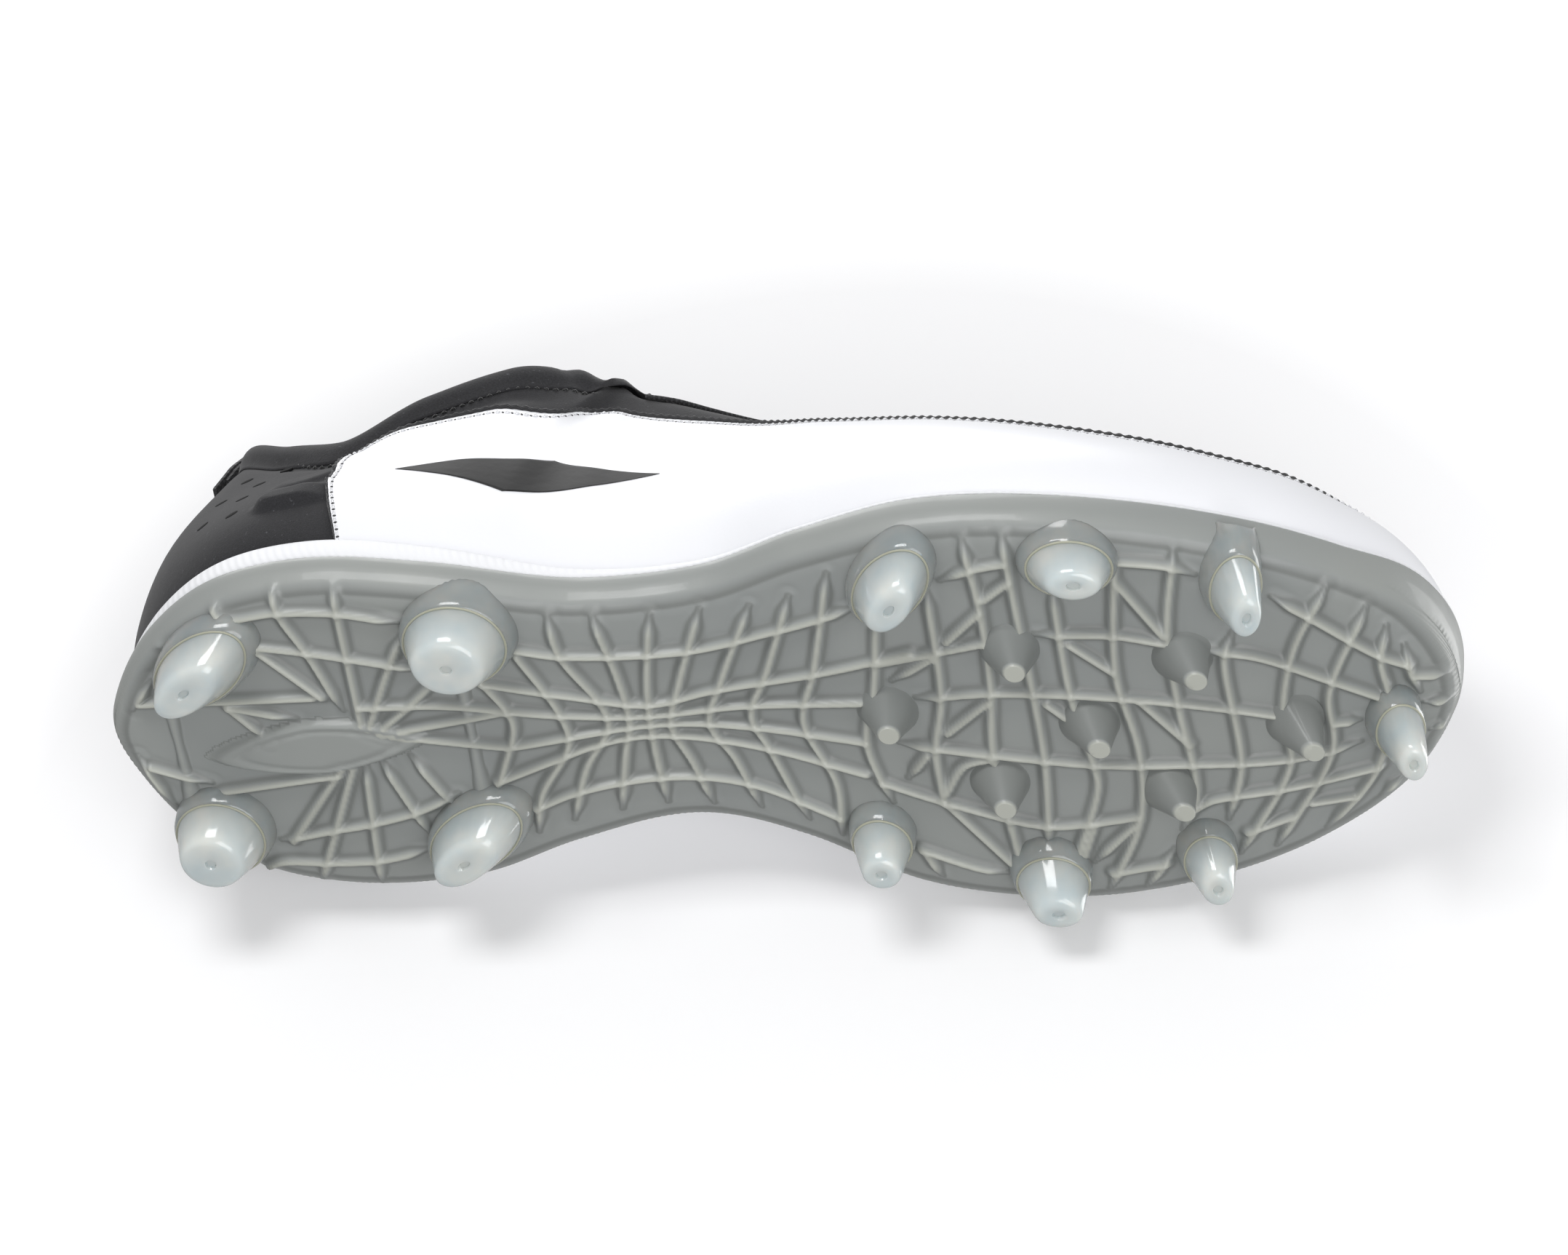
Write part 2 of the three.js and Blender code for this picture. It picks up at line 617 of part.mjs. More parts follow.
// The lace climbs from the toe end, crossing at each gap, one strand over the other.
function laceGeometry() {
  const inLoop = (row, side, way) => {
    const centre = loopCentre(row, side);
    const along = loopDirection(row, side).multiplyScalar(way * LACE.inLoop);
    return [centre.clone().sub(along), centre, centre.clone().add(along)];
  };
  const crossing = (row, over) => {
    const a = loopCentre(row, 1).add(loopCentre(row + 1, 1)).multiplyScalar(0.5);
    const b = loopCentre(row, -1).add(loopCentre(row + 1, -1)).multiplyScalar(0.5);
    const mid = a.add(b).multiplyScalar(0.5);
    mid.z += over ? LACE.over : -LACE.under;
    return mid;
  };
  const strand = startSide => {
    const points = [];
    let side = startSide;
    for (let row = LACE.rows - 1; row >= 0; row--) {
      points.push(...inLoop(row, side, -1));
      if (row > 0) points.push(crossing(row - 1, startSide > 0));
      side = -side;
    }
    return points;
  };
  const lateral = strand(1);
  const medial = strand(-1);
  const bar = lateral[0].clone().lerp(medial[0], 0.5);
  bar.x += LACE.bar;
  const path = new THREE.CatmullRomCurve3(
    [...lateral.reverse(), bar, ...medial].map(toPart), false, 'centripetal',
  );
  const section = new THREE.Shape();
  section.absarc(0, 0, LACE.radius, 0, 2 * Math.PI, false);
  return new THREE.ExtrudeGeometry(section, {
    extrudePath: path, steps: LACE.steps, bevelEnabled: false, curveSegments: 4,
  });
}

// ---- Heel pull tab --------------------------------------------------------------------

const PULL_TAB = { width: 15, thick: 2.2, clear: 0.5, rise: 10, sewn: [0.89, 0.95, 1] };

// A folded strap that follows the back of the heel up to the topline and stands above it.
function pullTab() {
  const half = PULL_TAB.thick / 2;
  const spine = PULL_TAB.sewn.map(f => upperPoint(0, f, PULL_TAB.clear + half));
  const end = spine[spine.length - 1];
  const top = end.clone().add(last(0, 0, PULL_TAB.rise));
  const rows = [...spine, end.clone().lerp(top, 0.6), top];
  const widths = [1, 1, 1, 0.96, 0.72].map(share => (share * PULL_TAB.width) / 2);
  return stack(rows.map((p, k) => [
    last(p.x - half, -widths[k], p.z),
    last(p.x - half, widths[k], p.z),
    last(p.x + half, widths[k], p.z),
    last(p.x + half, -widths[k], p.z),
  ]));
}

// ---- Assembly -------------------------------------------------------------------------

add('outsole_plate', outsolePlate(), MATERIALS.plate);
for (const [name, numbers] of Object.entries(CLEAR_STUDS)) {
  add(name, clearStud(numbers), MATERIALS.stud);
}
add('midsole', midsole(), MATERIALS.foamWhite);
add('lasting_board', lastingBoard(), MATERIALS.board);
add('sockliner', sockliner(), MATERIALS.sockliner);

add('lining', sock(LAYER.lining), MATERIALS.lining);
add('bootie', sock(LAYER.bootie), MATERIALS.neoprene);

const wrapStart = stationAt(50);
add('wrap', patch(LAYER.wrap, range(wrapStart, COLUMNS - wrapStart), 0, WRAP_ROWS), MATERIALS.leather);
// The woven binding sits just behind the wrap's rear edge, in fractions of a column.
const bindingColumns = side => [0.55, 0.3, 0.08].map(back => side * (wrapStart - back)).map(wrapIndex);
add('wrap_binding_lateral',
  patch(LAYER.wrap, bindingColumns(1), 0, WRAP_ROWS), MATERIALS.webbing);
add('wrap_binding_medial',
  patch(LAYER.wrap, bindingColumns(-1), 0, WRAP_ROWS), MATERIALS.webbing);

const counterEnd = stationAt(74);
add('heel_counter',
  patch(LAYER.stiffener, range(-counterEnd, counterEnd), 0, 3), MATERIALS.stiffener);
const puffStart = stationAt(258);
add('toe_puff',
  patch(LAYER.stiffener, range(puffStart, COLUMNS - puffStart), 0, WRAP_ROWS), MATERIALS.stiffener);

const foamStart = 1;
const foamEnd = stationAt(84);
add('collar_foam_lateral',
  patch(LAYER.foam, range(foamStart, foamEnd), WRAP_ROWS + 1, ROWS), MATERIALS.foamWhite);
add('collar_foam_medial',
  patch(LAYER.foam, range(-foamEnd, -foamStart), WRAP_ROWS + 1, ROWS), MATERIALS.foamWhite);

const eyestayStart = stationAt(102);
const eyestayEnd = stationAt(190);
add('eyestay_lateral',
  patch(LAYER.wrap, range(eyestayStart, eyestayEnd), ROWS - 1, ROWS), MATERIALS.webbing);
add('eyestay_medial',
  patch(LAYER.wrap, range(-eyestayEnd, -eyestayStart), ROWS - 1, ROWS), MATERIALS.webbing);

add('tongue', tongue(), MATERIALS.neoprene);
add('tongue_top', tongueTop(), MATERIALS.neoprene);
for (let row = 0; row < LACE.rows; row++) {
  add(`lace_loop_lateral_${row + 1}`, laceLoop(row, 1), MATERIALS.webbing);
  add(`lace_loop_medial_${row + 1}`, laceLoop(row, -1), MATERIALS.webbing);
}
add('lace', laceGeometry(), MATERIALS.webbing);
add('heel_pull_tab', pullTab(), MATERIALS.webbing);

// The origin is under the middle of the whole shoe's bounding box, on the ground.
const box = new THREE.Box3().setFromObject(root);
root.position.set(-(box.min.x + box.max.x) / 2, -(box.min.y + box.max.y) / 2, -box.min.z);
root.updateMatrixWorld(true);

export default root;
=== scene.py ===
"""The looks of a moulded-stud cleat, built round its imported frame.

Lengths are millimetres until a mesh is made. Shapes are laid out in last coordinates
(s, t, h): s runs from the back of the heel to the toe, t from the centre line to the
lateral side, and h up from the ground under the studs.
"""

import itertools
import math

import bmesh
import bpy
import numpy as np
from mathutils import Matrix, Vector
from mathutils.bvhtree import BVHTree


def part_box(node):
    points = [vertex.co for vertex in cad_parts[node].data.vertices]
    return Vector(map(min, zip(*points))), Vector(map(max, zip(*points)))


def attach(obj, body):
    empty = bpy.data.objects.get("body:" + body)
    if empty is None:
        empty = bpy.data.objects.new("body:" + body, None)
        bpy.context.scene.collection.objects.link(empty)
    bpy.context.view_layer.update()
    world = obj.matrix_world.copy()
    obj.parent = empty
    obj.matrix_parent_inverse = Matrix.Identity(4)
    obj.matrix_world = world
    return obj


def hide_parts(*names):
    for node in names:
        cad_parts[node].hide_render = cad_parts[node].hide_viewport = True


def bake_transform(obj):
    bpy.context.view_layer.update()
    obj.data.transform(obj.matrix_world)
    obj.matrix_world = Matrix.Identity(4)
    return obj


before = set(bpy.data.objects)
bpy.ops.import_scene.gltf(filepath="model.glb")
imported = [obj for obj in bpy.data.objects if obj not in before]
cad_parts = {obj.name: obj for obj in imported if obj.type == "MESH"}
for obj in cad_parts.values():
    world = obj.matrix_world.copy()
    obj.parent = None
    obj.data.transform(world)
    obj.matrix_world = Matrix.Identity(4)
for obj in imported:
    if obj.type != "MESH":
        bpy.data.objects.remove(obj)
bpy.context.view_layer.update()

# ---- Driving dimensions, the same as the frame's ----------------------------------------

STUD_HEIGHT = 12.5
ARCH_RISE, ARCH_CENTRE, ARCH_SPREAD = 4.0, 138.0, 32.0
TOE_SPRING, TOE_START, TOE_RUN = 15.0, 215.0, 85.0
PLATE_FLOOR = 2.2
GAP = 0.3
STATIONS = 30
COLUMNS = 2 * STATIONS

# The widest outline of the sole, heel to toe, as (s, t) on each side.
LATERAL_OUTLINE = [
    (1, 0), (4, 10), (14, 25), (30, 37.5), (52, 43), (80, 41), (113, 34.5), (138, 36),
    (160, 45.5), (185, 53.5), (210, 54.5), (238, 50), (265, 39.5), (287, 24), (297, 8), (299.5, -6),
]
MEDIAL_OUTLINE = [
    (1, 0), (4, -12), (13, -28), (29, -41), (52, -46.5), (80, -44), (104, -35), (130, -30),
    (154, -36), (180, -48), (210, -52.5), (240, -49.5), (268, -41), (288, -28.5), (297, -15), (299.5, -6),
]

# ---- Small tools ------------------------------------------------------------------------


def lerp(a, b, share):
    return a + (b - a) * share


def smoothstep(x, low, high):
    u = np.clip((np.asarray(x, float) - low) / (high - low), 0, 1)
    return u * u * (3 - 2 * u)


def hump(x, middle, half):
    """A bell curve that is 1 at middle and falls off over half."""
    return np.exp(-(((x - middle) / half) ** 2))


def unit(v):
    return v / np.maximum(np.linalg.norm(v, axis=-1, keepdims=True), 1e-9)


def through(*pairs):
    """A smooth function through (x, value) pairs, with flat runs kept flat."""
    x, y = np.array(pairs, float).T
    rise = np.diff(y) / np.diff(x)
    before, after = rise[:-1], rise[1:]
    same_way = before * after > 0
    slope = np.zeros(len(x))
    slope[1:-1] = np.where(same_way, 2 * before * after / np.where(same_way, before + after, 1), 0)

    def value(at):
        at = np.clip(np.asarray(at, float), x[0], x[-1])
        k = np.clip(np.searchsorted(x, at) - 1, 0, len(x) - 2)
        span = x[k + 1] - x[k]
        u = (at - x[k]) / span
        ends = y[k] + (y[k + 1] - y[k]) * u * u * (3 - 2 * u)
        return ends + slope[k] * u * (1 - u) ** 2 * span + slope[k + 1] * u * u * (u - 1) * span

    return value


def knots(points, closed):
    """A centripetal Catmull-Rom curve through the points, as a function of a share 0 to 1."""
    p = np.array(points, float)
    n = len(p)
    if not closed:
        p = np.vstack([2 * p[0] - p[1], p, 2 * p[-1] - p[-2]])

    def at(share):
        share = np.asarray(share, float)
        if closed:
            place = np.mod(share, 1) * n
            k = np.floor(place).astype(int)
            p0, p1, p2, p3 = (p[(k + j) % n] for j in (-1, 0, 1, 2))
        else:
            place = np.clip(share, 0, 1) * (n - 1)
            k = np.minimum(np.floor(place).astype(int), n - 2)
            p0, p1, p2, p3 = (p[k + j] for j in range(4))
        w = (place - k)[..., None]
        d0, d1, d2 = (
            np.maximum(np.linalg.norm(b - a, axis=-1, keepdims=True), 1e-9) ** 0.5
            for a, b in ((p0, p1), (p1, p2), (p2, p3))
        )
        m1 = ((p1 - p0) / d0 - (p2 - p0) / (d0 + d1) + (p2 - p1) / d1) * d1
        m2 = ((p2 - p1) / d1 - (p3 - p1) / (d1 + d2) + (p3 - p2) / d2) * d1
        return p1 + w * (m1 + w * (3 * (p2 - p1) - 2 * m1 - m2 + w * (2 * (p1 - p2) + m1 + m2)))

    return at


def smooth_run(points, count):
    """count points along a smooth open run through the given points."""
    return knots(points, closed=False)(np.linspace(0, 1, count))


# ---- Sole surfaces ----------------------------------------------------------------------


def plate_bottom(s):
    """Height of the plate's underside above the ground."""
    s = np.asarray(s, float)
    arch = ARCH_RISE * hump(s, ARCH_CENTRE, ARCH_SPREAD)
    toe = TOE_SPRING * (np.maximum(s - TOE_START, 0) / TOE_RUN) ** 2
    return STUD_HEIGHT + arch + toe


plate_rim = through((0, 8), (150, 8), (185, 9.3), (274, 9.3), (293, 13.6), (300, 14.4))
midsole_floor = through((0, 8.6), (70, 8.6), (150, 5.8), (300, 5.6))
midsole_band = through((0, 7.4), (60, 7), (130, 2.6), (190, 1), (300, 1))

outline_curve = knots(LATERAL_OUTLINE + MEDIAL_OUTLINE[1:-1][::-1], closed=True)


def outline_at(i):
    """The outline's (s, t) at column positions i, which run 0 to 60 round the shoe."""
    return outline_curve(np.asarray(i, float) / COLUMNS)


def outline_normal(i):
    step = 0.25
    along = unit(outline_at(np.asarray(i) + step) - outline_at(np.asarray(i) - step))
    return np.stack([-along[..., 1], along[..., 0]], -1)


def pair_s(i):
    """The mean s of a lateral column and its medial partner."""
    return (outline_at(i)[..., 0] + outline_at(COLUMNS - np.asarray(i))[..., 0]) / 2


def rim_top(s):
    return plate_bottom(s) + plate_rim(s)


def band_top(s):
    return rim_top(s) + 2 * GAP + midsole_band(s)


def floor_top(s):
    return plate_bottom(s) + midsole_floor(s)


def ring(i, inset, height):
    """Points inset from the outline; inset is a number or a function of s, height of s."""
    distance = inset(pair_s(i)) if callable(inset) else inset
    flat = outline_at(i) - outline_normal(i) * np.asarray(distance)[..., None]
    return np.concatenate([flat, height(flat[..., 0])[..., None]], -1)


# ---- Upper surface ----------------------------------------------------------------------

top_s = through((0, 14), (8, 19), (20, 32), (35, 46), (55, 64), (75, 82), (88, 93),
                (106, 107), (250, 250), (300, 262))
top_t = through((0, 0), (8, 13), (20, 22), (35, 28), (55, 31), (75, 31), (88, 25), (106, 0))
ankle_height = through((0, 112), (8, 107), (20, 92), (35, 82), (55, 95), (75, 107), (88, 112), (106, 118))
ridge_height = through((95, 120), (125, 115), (153, 104), (190, 91), (223, 82), (244, 76), (262, 71))
side_reach = through((88, 1), (105, 0.8), (194, 0.8), (203, 1))
swell = through((0, 14), (30, 14), (60, 11), (110, 14), (150, 18), (230, 18), (262, 16), (280, 12),
                (299, 10))
ankle_swell = through((0, 7), (30, 5), (60, 3))
ridge_width = through((100, 0.86), (150, 0.8), (190, 0.72), (240, 0.7), (300, 0.6))
feather_inset = through((0, 6), (60, 6.9), (262, 7), (285, 7.4), (300, 7.4))
upright = through((0, 0.36), (240, 0.36), (285, 0.5), (300, 0.5))

FOOT_OUT = 2.6      # how far the seen upper's lower edge stands outside the frame's
FOOT_TUCK = 3.2     # how deep it is tucked below the midsole's top
ANKLE_DROP = 0.38   # the ankle's control point below the topline, as a share of the rise
RIDGE_DROP = 1.5
# The spans across which the normals are taken: a curve share, and a column position that
# grows over the hollow before the ankle so that the normals do not cross there.
NORMAL_RISE, NORMAL_TURN = 0.01, 0.3
HOLLOW = {"s": 95, "half": 14, "turn": 1.1}


def columns(i):
    """The four control points of the upper's column curves at column positions i."""
    i = np.asarray(i, float)
    side = np.where(np.mod(i, COLUMNS) <= STATIONS, 1, -1)
    s = pair_s(i)
    out = np.concatenate([outline_normal(i), np.zeros(i.shape + (1,))], -1)
    base = ring(i, feather_inset, lambda x: floor_top(x) + 3 * GAP)
    foot = base + out * FOOT_OUT
    foot[..., 2] = band_top(foot[..., 0]) - FOOT_TUCK
    to_ridge = smoothstep(s, 88, 106)
    top = np.stack([top_s(s), side * top_t(s), 0 * s], -1)
    top[..., 2] = lerp(ankle_height(s), ridge_height(top[..., 0]), to_ridge)
    rise = top[..., 2] - base[..., 2]
    low = base + out * swell(s)[..., None]
    low[..., 2] += upright(s) * rise
    ankle = top + out * ankle_swell(s)[..., None]
    ankle[..., 2] -= ANKLE_DROP * rise
    across = base - top
    across[..., 2] = 0
    ridge = top + across * ridge_width(s)[..., None]
    ridge[..., 2] -= RIDGE_DROP
    return foot, low, lerp(ankle, ridge, to_ridge[..., None]), top


def on_curve(controls, f):
    a, b, c, d = (p[..., None, :] if p.ndim == f.ndim else p for p in controls)
    f = f[..., None]
    return a * (1 - f) ** 3 + 3 * b * f * (1 - f) ** 2 + 3 * c * f * f * (1 - f) + d * f**3


def upper(i, f, offset=0.0):
    """Points of the upper at column positions i and curve shares f, moved out by offset."""
    i, f = np.broadcast_arrays(np.asarray(i, float), np.asarray(f, float))
    s = pair_s(i)
    turn = NORMAL_TURN + HOLLOW["turn"] * hump(s, HOLLOW["s"], HOLLOW["half"])
    here = columns(i)
    point = on_curve(here, f)
    around = on_curve(columns(i + turn), f) - on_curve(columns(i - turn), f)
    rise = (on_curve(here, np.minimum(f + NORMAL_RISE, 1))
            - on_curve(here, np.maximum(f - NORMAL_RISE, 0)))
    normal = np.cross(rise, around)
    normal[..., 2] *= smoothstep(f, 0, 0.22)
    normal = unit(normal)
    slope = (ridge_height(point[..., 0] + 1) - ridge_height(point[..., 0] - 1)) / 2
    crest = unit(np.stack([-slope, 0 * slope, 1 + 0 * slope], -1))
    near = (smoothstep(f, 0.88, 1) * smoothstep(s, 100, 108))[..., None]
    normal = unit(lerp(normal, crest, near))
    return point + normal * np.asarray(offset, float)[..., None]

# ---- From last coordinates to meshes ----------------------------------------------------

MM = 0.001
WELD = 0.004    # points closer than this are one point
SIDES = ((1, "lateral"), (-1, "medial"))    # the sign of t on each side
plate_low, plate_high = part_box("outsole_plate")
widest = outline_at(np.arange(COLUMNS))
MIDDLE_X = plate_low.x / MM + widest[:, 1].max()
HEEL_Y = plate_high.y / MM + widest[:, 0].min()


def to_frame(points):
    """Last coordinates in millimetres to the frame's metres: toe to -Y, lateral side to -X."""
    s, t, h = np.moveaxis(np.asarray(points, float), -1, 0)
    return np.stack([MIDDLE_X - t, HEEL_Y - s, h], -1) * MM


def to_last(points):
    """The frame's metres back to last coordinates."""
    x, y, z = np.moveaxis(points / MM, -1, 0)
    return np.stack([HEEL_Y - y, MIDDLE_X - x, z], -1)


def turn_to_frame(direction):
    s, t, h = direction
    return Vector((-t, -s, h))


def lengths_along(points, axis):
    """Distance run along one axis of a grid of points, from its first row."""
    steps = np.linalg.norm(np.diff(points, axis=axis), axis=-1)
    start = np.zeros_like(np.take(steps, [0], axis=axis))
    return np.concatenate([start, np.cumsum(steps, axis=axis)], axis=axis)


class Shape:
    """Gathers grids of points and their faces into one mesh.

    mark is a share from 0 to 1 that a material can read. cloth holds the distances run
    along a grid's two directions, in millimetres, for weaves.
    """

    def __init__(self):
        self.points, self.faces, self.marks, self.cloth = [], [], [], []
        self.count = 0

    def add(self, points, mark=0.0):
        points = np.asarray(points, float)
        grid = points.shape[:-1]
        numbers = np.arange(self.count, self.count + int(np.prod(grid))).reshape(grid)
        cloth = np.zeros(grid + (3,))
        if len(grid) == 2 and min(grid) > 1:
            cloth[..., 0] = lengths_along(points, 0)
            cloth[..., 1] = lengths_along(points, 1)
        self.points.append(points.reshape(-1, 3))
        self.marks.append(np.broadcast_to(mark, grid).reshape(-1))
        self.cloth.append(cloth.reshape(-1, 3))
        self.count += numbers.size
        return numbers

    def skin(self, grid, ring=False, keep=None):
        """Quads between neighbours of a grid; ring closes its second direction."""
        if ring:
            grid = np.concatenate([grid, grid[:, :1]], 1)
        quads = np.stack([grid[:-1, :-1], grid[1:, :-1], grid[1:, 1:], grid[:-1, 1:]], -1)
        if keep is not None:
            quads = quads[keep]
        self.faces.append(quads.reshape(-1, 4))

    def cap(self, loop):
        """Closes a ring of points with a fan round its centre."""
        everything = np.concatenate(self.points)
        centre = self.add(everything[loop].mean(0)[None], np.concatenate(self.marks)[loop[0]])
        middle = np.full(len(loop), centre[0])
        self.faces.append(np.stack([loop, np.roll(loop, -1), middle, middle], -1))

    def tube(self, rings, mark=0.0):
        """A closed body from a stack of rings of points."""
        grid = self.add(rings, mark)
        self.skin(grid, ring=True)
        self.cap(grid[0])
        self.cap(grid[-1])
        return grid

    def sheet(self, outer, inner, mark=0.0):
        """A closed body between two grids of the same size."""
        top = self.add(outer, mark)
        under = self.add(inner, mark)
        self.skin(top)
        self.skin(under)
        for edge in (0, -1):
            self.skin(np.stack([top[edge], under[edge]]))
            self.skin(np.stack([top[:, edge], under[:, edge]]))

    def make(self, name, look, body="shoe", stands_for=(), crease=None):
        """The finished object: welded, faces out, smooth but for creases over an angle."""
        corners = np.concatenate(self.faces)
        faces = [tuple(dict.fromkeys(face)) for face in corners.tolist()]
        faces = [face for face in faces if len(face) > 2]
        mesh = bpy.data.meshes.new(name)
        mesh.from_pydata(to_frame(np.concatenate(self.points)).tolist(), [], faces)
        marks = mesh.attributes.new("mark", "FLOAT", "POINT")
        marks.data.foreach_set("value", np.concatenate(self.marks).astype(np.float32))
        cloth = mesh.attributes.new("cloth", "FLOAT_VECTOR", "POINT")
        cloth.data.foreach_set("vector", np.concatenate(self.cloth).astype(np.float32).ravel())
        work = bmesh.new()
        work.from_mesh(mesh)
        bmesh.ops.remove_doubles(work, verts=work.verts, dist=WELD * MM)
        bmesh.ops.dissolve_degenerate(work, edges=work.edges, dist=WELD * MM)
        bmesh.ops.recalc_face_normals(work, faces=work.faces)
        work.to_mesh(mesh)
        work.free()
        mesh.shade_smooth()
        if crease:
            mesh.set_sharp_from_angle(angle=math.radians(crease))
        piece = bpy.data.objects.new(name, mesh)
        bpy.context.scene.collection.objects.link(piece)
        piece.data.materials.append(look)
        if body:
            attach(piece, body)
        if stands_for:
            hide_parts(*stands_for)
        return piece


def circle(sides):
    angle = np.arange(sides) * 2 * math.pi / sides
    return np.cos(angle), np.sin(angle)


def path_frames(path, up):
    """Directions across and above a path, square to it, for a chosen up direction."""
    along = unit(np.gradient(path, axis=0))
    across = unit(np.cross(along, np.broadcast_to(up, path.shape)))
    return across, np.cross(across, along)


def swept(path, up, widths, heights, sides=10):
    """Rings of an oval section along a path."""
    across, above = path_frames(path, up)
    x, y = circle(sides)
    widths = np.broadcast_to(widths, len(path))[:, None, None]
    heights = np.broadcast_to(heights, len(path))[:, None, None]
    return (path[:, None] + across[:, None] * x[:, None] * widths
            + above[:, None] * y[:, None] * heights)


def resample(path, step):
    """Points at an even spacing of about step along a path."""
    run = lengths_along(path[:, None], 0)[:, 0]
    count = max(int(round(run[-1] / step)), 2)
    even = np.linspace(0, run[-1], count + 1)
    return np.stack([np.interp(even, run, path[:, k]) for k in range(3)], -1)


def spread(normals, count):
    """The given normals, read off at count even shares of their run."""
    have, want = np.linspace(0, 1, len(normals)), np.linspace(0, 1, count)
    return unit(np.stack([np.interp(want, have, normals[:, k]) for k in range(3)], -1))


def turned(way, towards):
    """A direction, reversed if it points away from another."""
    return way if way @ np.asarray(towards) > 0 else -way


def face_line(place):
    """A line on a face and the normals along it; place(lift) is the line lifted off the face."""
    line = place(0)
    return line, unit(place(1) - line)


def rounded(v, roll):
    """Thickness share across a strip (v from 0 to 1) whose edges round off within roll."""
    edge = np.clip(np.minimum(v, 1 - v) / roll, 0, 1)
    return np.sqrt(np.maximum(1 - (1 - edge) ** 2, 0))


def edge_shares(count, roll):
    """Shares from 0 to 1, closer together near both ends."""
    bend = np.linspace(0, 1, 5)[:-1] ** 1.5 * roll
    return np.concatenate([bend, np.linspace(roll, 1 - roll, count), 1 - bend[::-1]])


STITCH = {"length": 1.7, "radius": 0.32, "sunk": 0.12, "sides": 6}


def stitch_row(shape, path, normals, pitch):
    """A row of raised stitches along a path on a surface with the given normals."""
    spots = resample(path, pitch)
    facing = spread(normals, len(spots))
    depth = np.array([-1, 0.4, 1, 0.4, -1]) * STITCH["radius"]
    size = np.array([0.35, 0.85, 1, 0.85, 0.35]) * STITCH["radius"]
    for a, b, normal in zip(spots[:-1], spots[1:], facing[:-1]):
        share = STITCH["length"] / max(np.linalg.norm(b - a), 1e-6)
        line = a + (b - a) * np.linspace(0, min(share, 0.85), 5)[:, None]
        line = line + normal * (depth[:, None] - STITCH["sunk"])
        shape.tube(swept(line, normal, size, size, STITCH["sides"]))



# ---- Materials --------------------------------------------------------------------------


def linear(red, green, blue):
    """A colour given as 0 to 255 screen values, in linear light."""
    share = np.array([red, green, blue]) / 255
    return tuple(np.where(share <= 0.04045, share / 12.92, ((share + 0.055) / 1.055) ** 2.4))


class Paint:
    """A node material being built. Values given to node() are links or plain numbers."""

    def __init__(self, name, colour, roughness, **inputs):
        self.material = bpy.data.materials.new(name)
        self.material.use_nodes = True
        self.tree = self.material.node_tree
        self.shader = self.tree.nodes["Principled BSDF"]
        self.set(self.shader, {"Base Color": (*colour, 1), "Roughness": roughness})
        self.set(self.shader, {key.replace("_", " "): value for key, value in inputs.items()})
        self.bumped = None

    def set(self, node, values):
        for key, value in values.items():
            socket = node.inputs[key]
            if isinstance(value, bpy.types.NodeSocket):
                self.tree.links.new(value, socket)
            else:
                socket.default_value = value

    def node(self, kind, inputs=None, **settings):
        made = self.tree.nodes.new("ShaderNode" + kind)
        for key, value in settings.items():
            setattr(made, key, value)
        self.set(made, inputs or {})
        return made

    def place(self):
        return self.node("TexCoord").outputs["Object"]

    def attribute(self, name, output):
        return self.node("Attribute", attribute_name=name).outputs[output]

    def noise(self, size, detail=3.0):
        """Soft noise whose features are about size millimetres across."""
        inputs = {"Vector": self.place(), "Scale": 1 / (size * MM), "Detail": detail}
        return self.node("TexNoise", inputs).outputs["Fac"]

    def pebbles(self, size):
        texture = self.node("TexVoronoi", {"Vector": self.place(), "Scale": 1 / (size * MM)})
        return texture.outputs["Distance"]

    def maths(self, operation, a, b=0.0):
        return self.node("Math", {0: a, 1: b}, operation=operation).outputs[0]

    def stripes(self, pitch, slant=0.0):
        """A wave of the given pitch in millimetres over the cloth distances."""
        parts = self.node("SeparateXYZ", {0: self.attribute("cloth", "Vector")})
        along = self.maths("MULTIPLY", parts.outputs[0], math.cos(slant) * 2 * math.pi / pitch)
        across = self.maths("MULTIPLY", parts.outputs[1], math.sin(slant) * 2 * math.pi / pitch)
        wave = self.maths("SINE", self.maths("ADD", along, across))
        return self.maths("ADD", self.maths("MULTIPLY", wave, 0.5), 0.5)

    def ramp(self, value, low, high):
        """Maps value from low..high onto 0..1, clamped."""
        return self.node("MapRange", {"Value": value, "From Min": low, "From Max": high}).outputs[0]

    def mix(self, share, a, b):
        """A blend from colour a to colour b."""
        first, second = (c if isinstance(c, bpy.types.NodeSocket) else (*c, 1) for c in (a, b))
        made = self.node("Mix", data_type="RGBA")
        self.set(made, {0: share, 6: first, 7: second})
        return made.outputs[2]

    def colour(self, value):
        self.set(self.shader, {"Base Color": value})
        return self

    def bump(self, height, depth, strength=1.0):
        """Adds relief depth millimetres deep, on top of any added before."""
        inputs = {"Height": height, "Distance": depth * MM, "Strength": strength}
        if self.bumped:
            inputs["Normal"] = self.bumped
        self.bumped = self.node("Bump", inputs).outputs[0]
        self.set(self.shader, {"Normal": self.bumped})
        return self


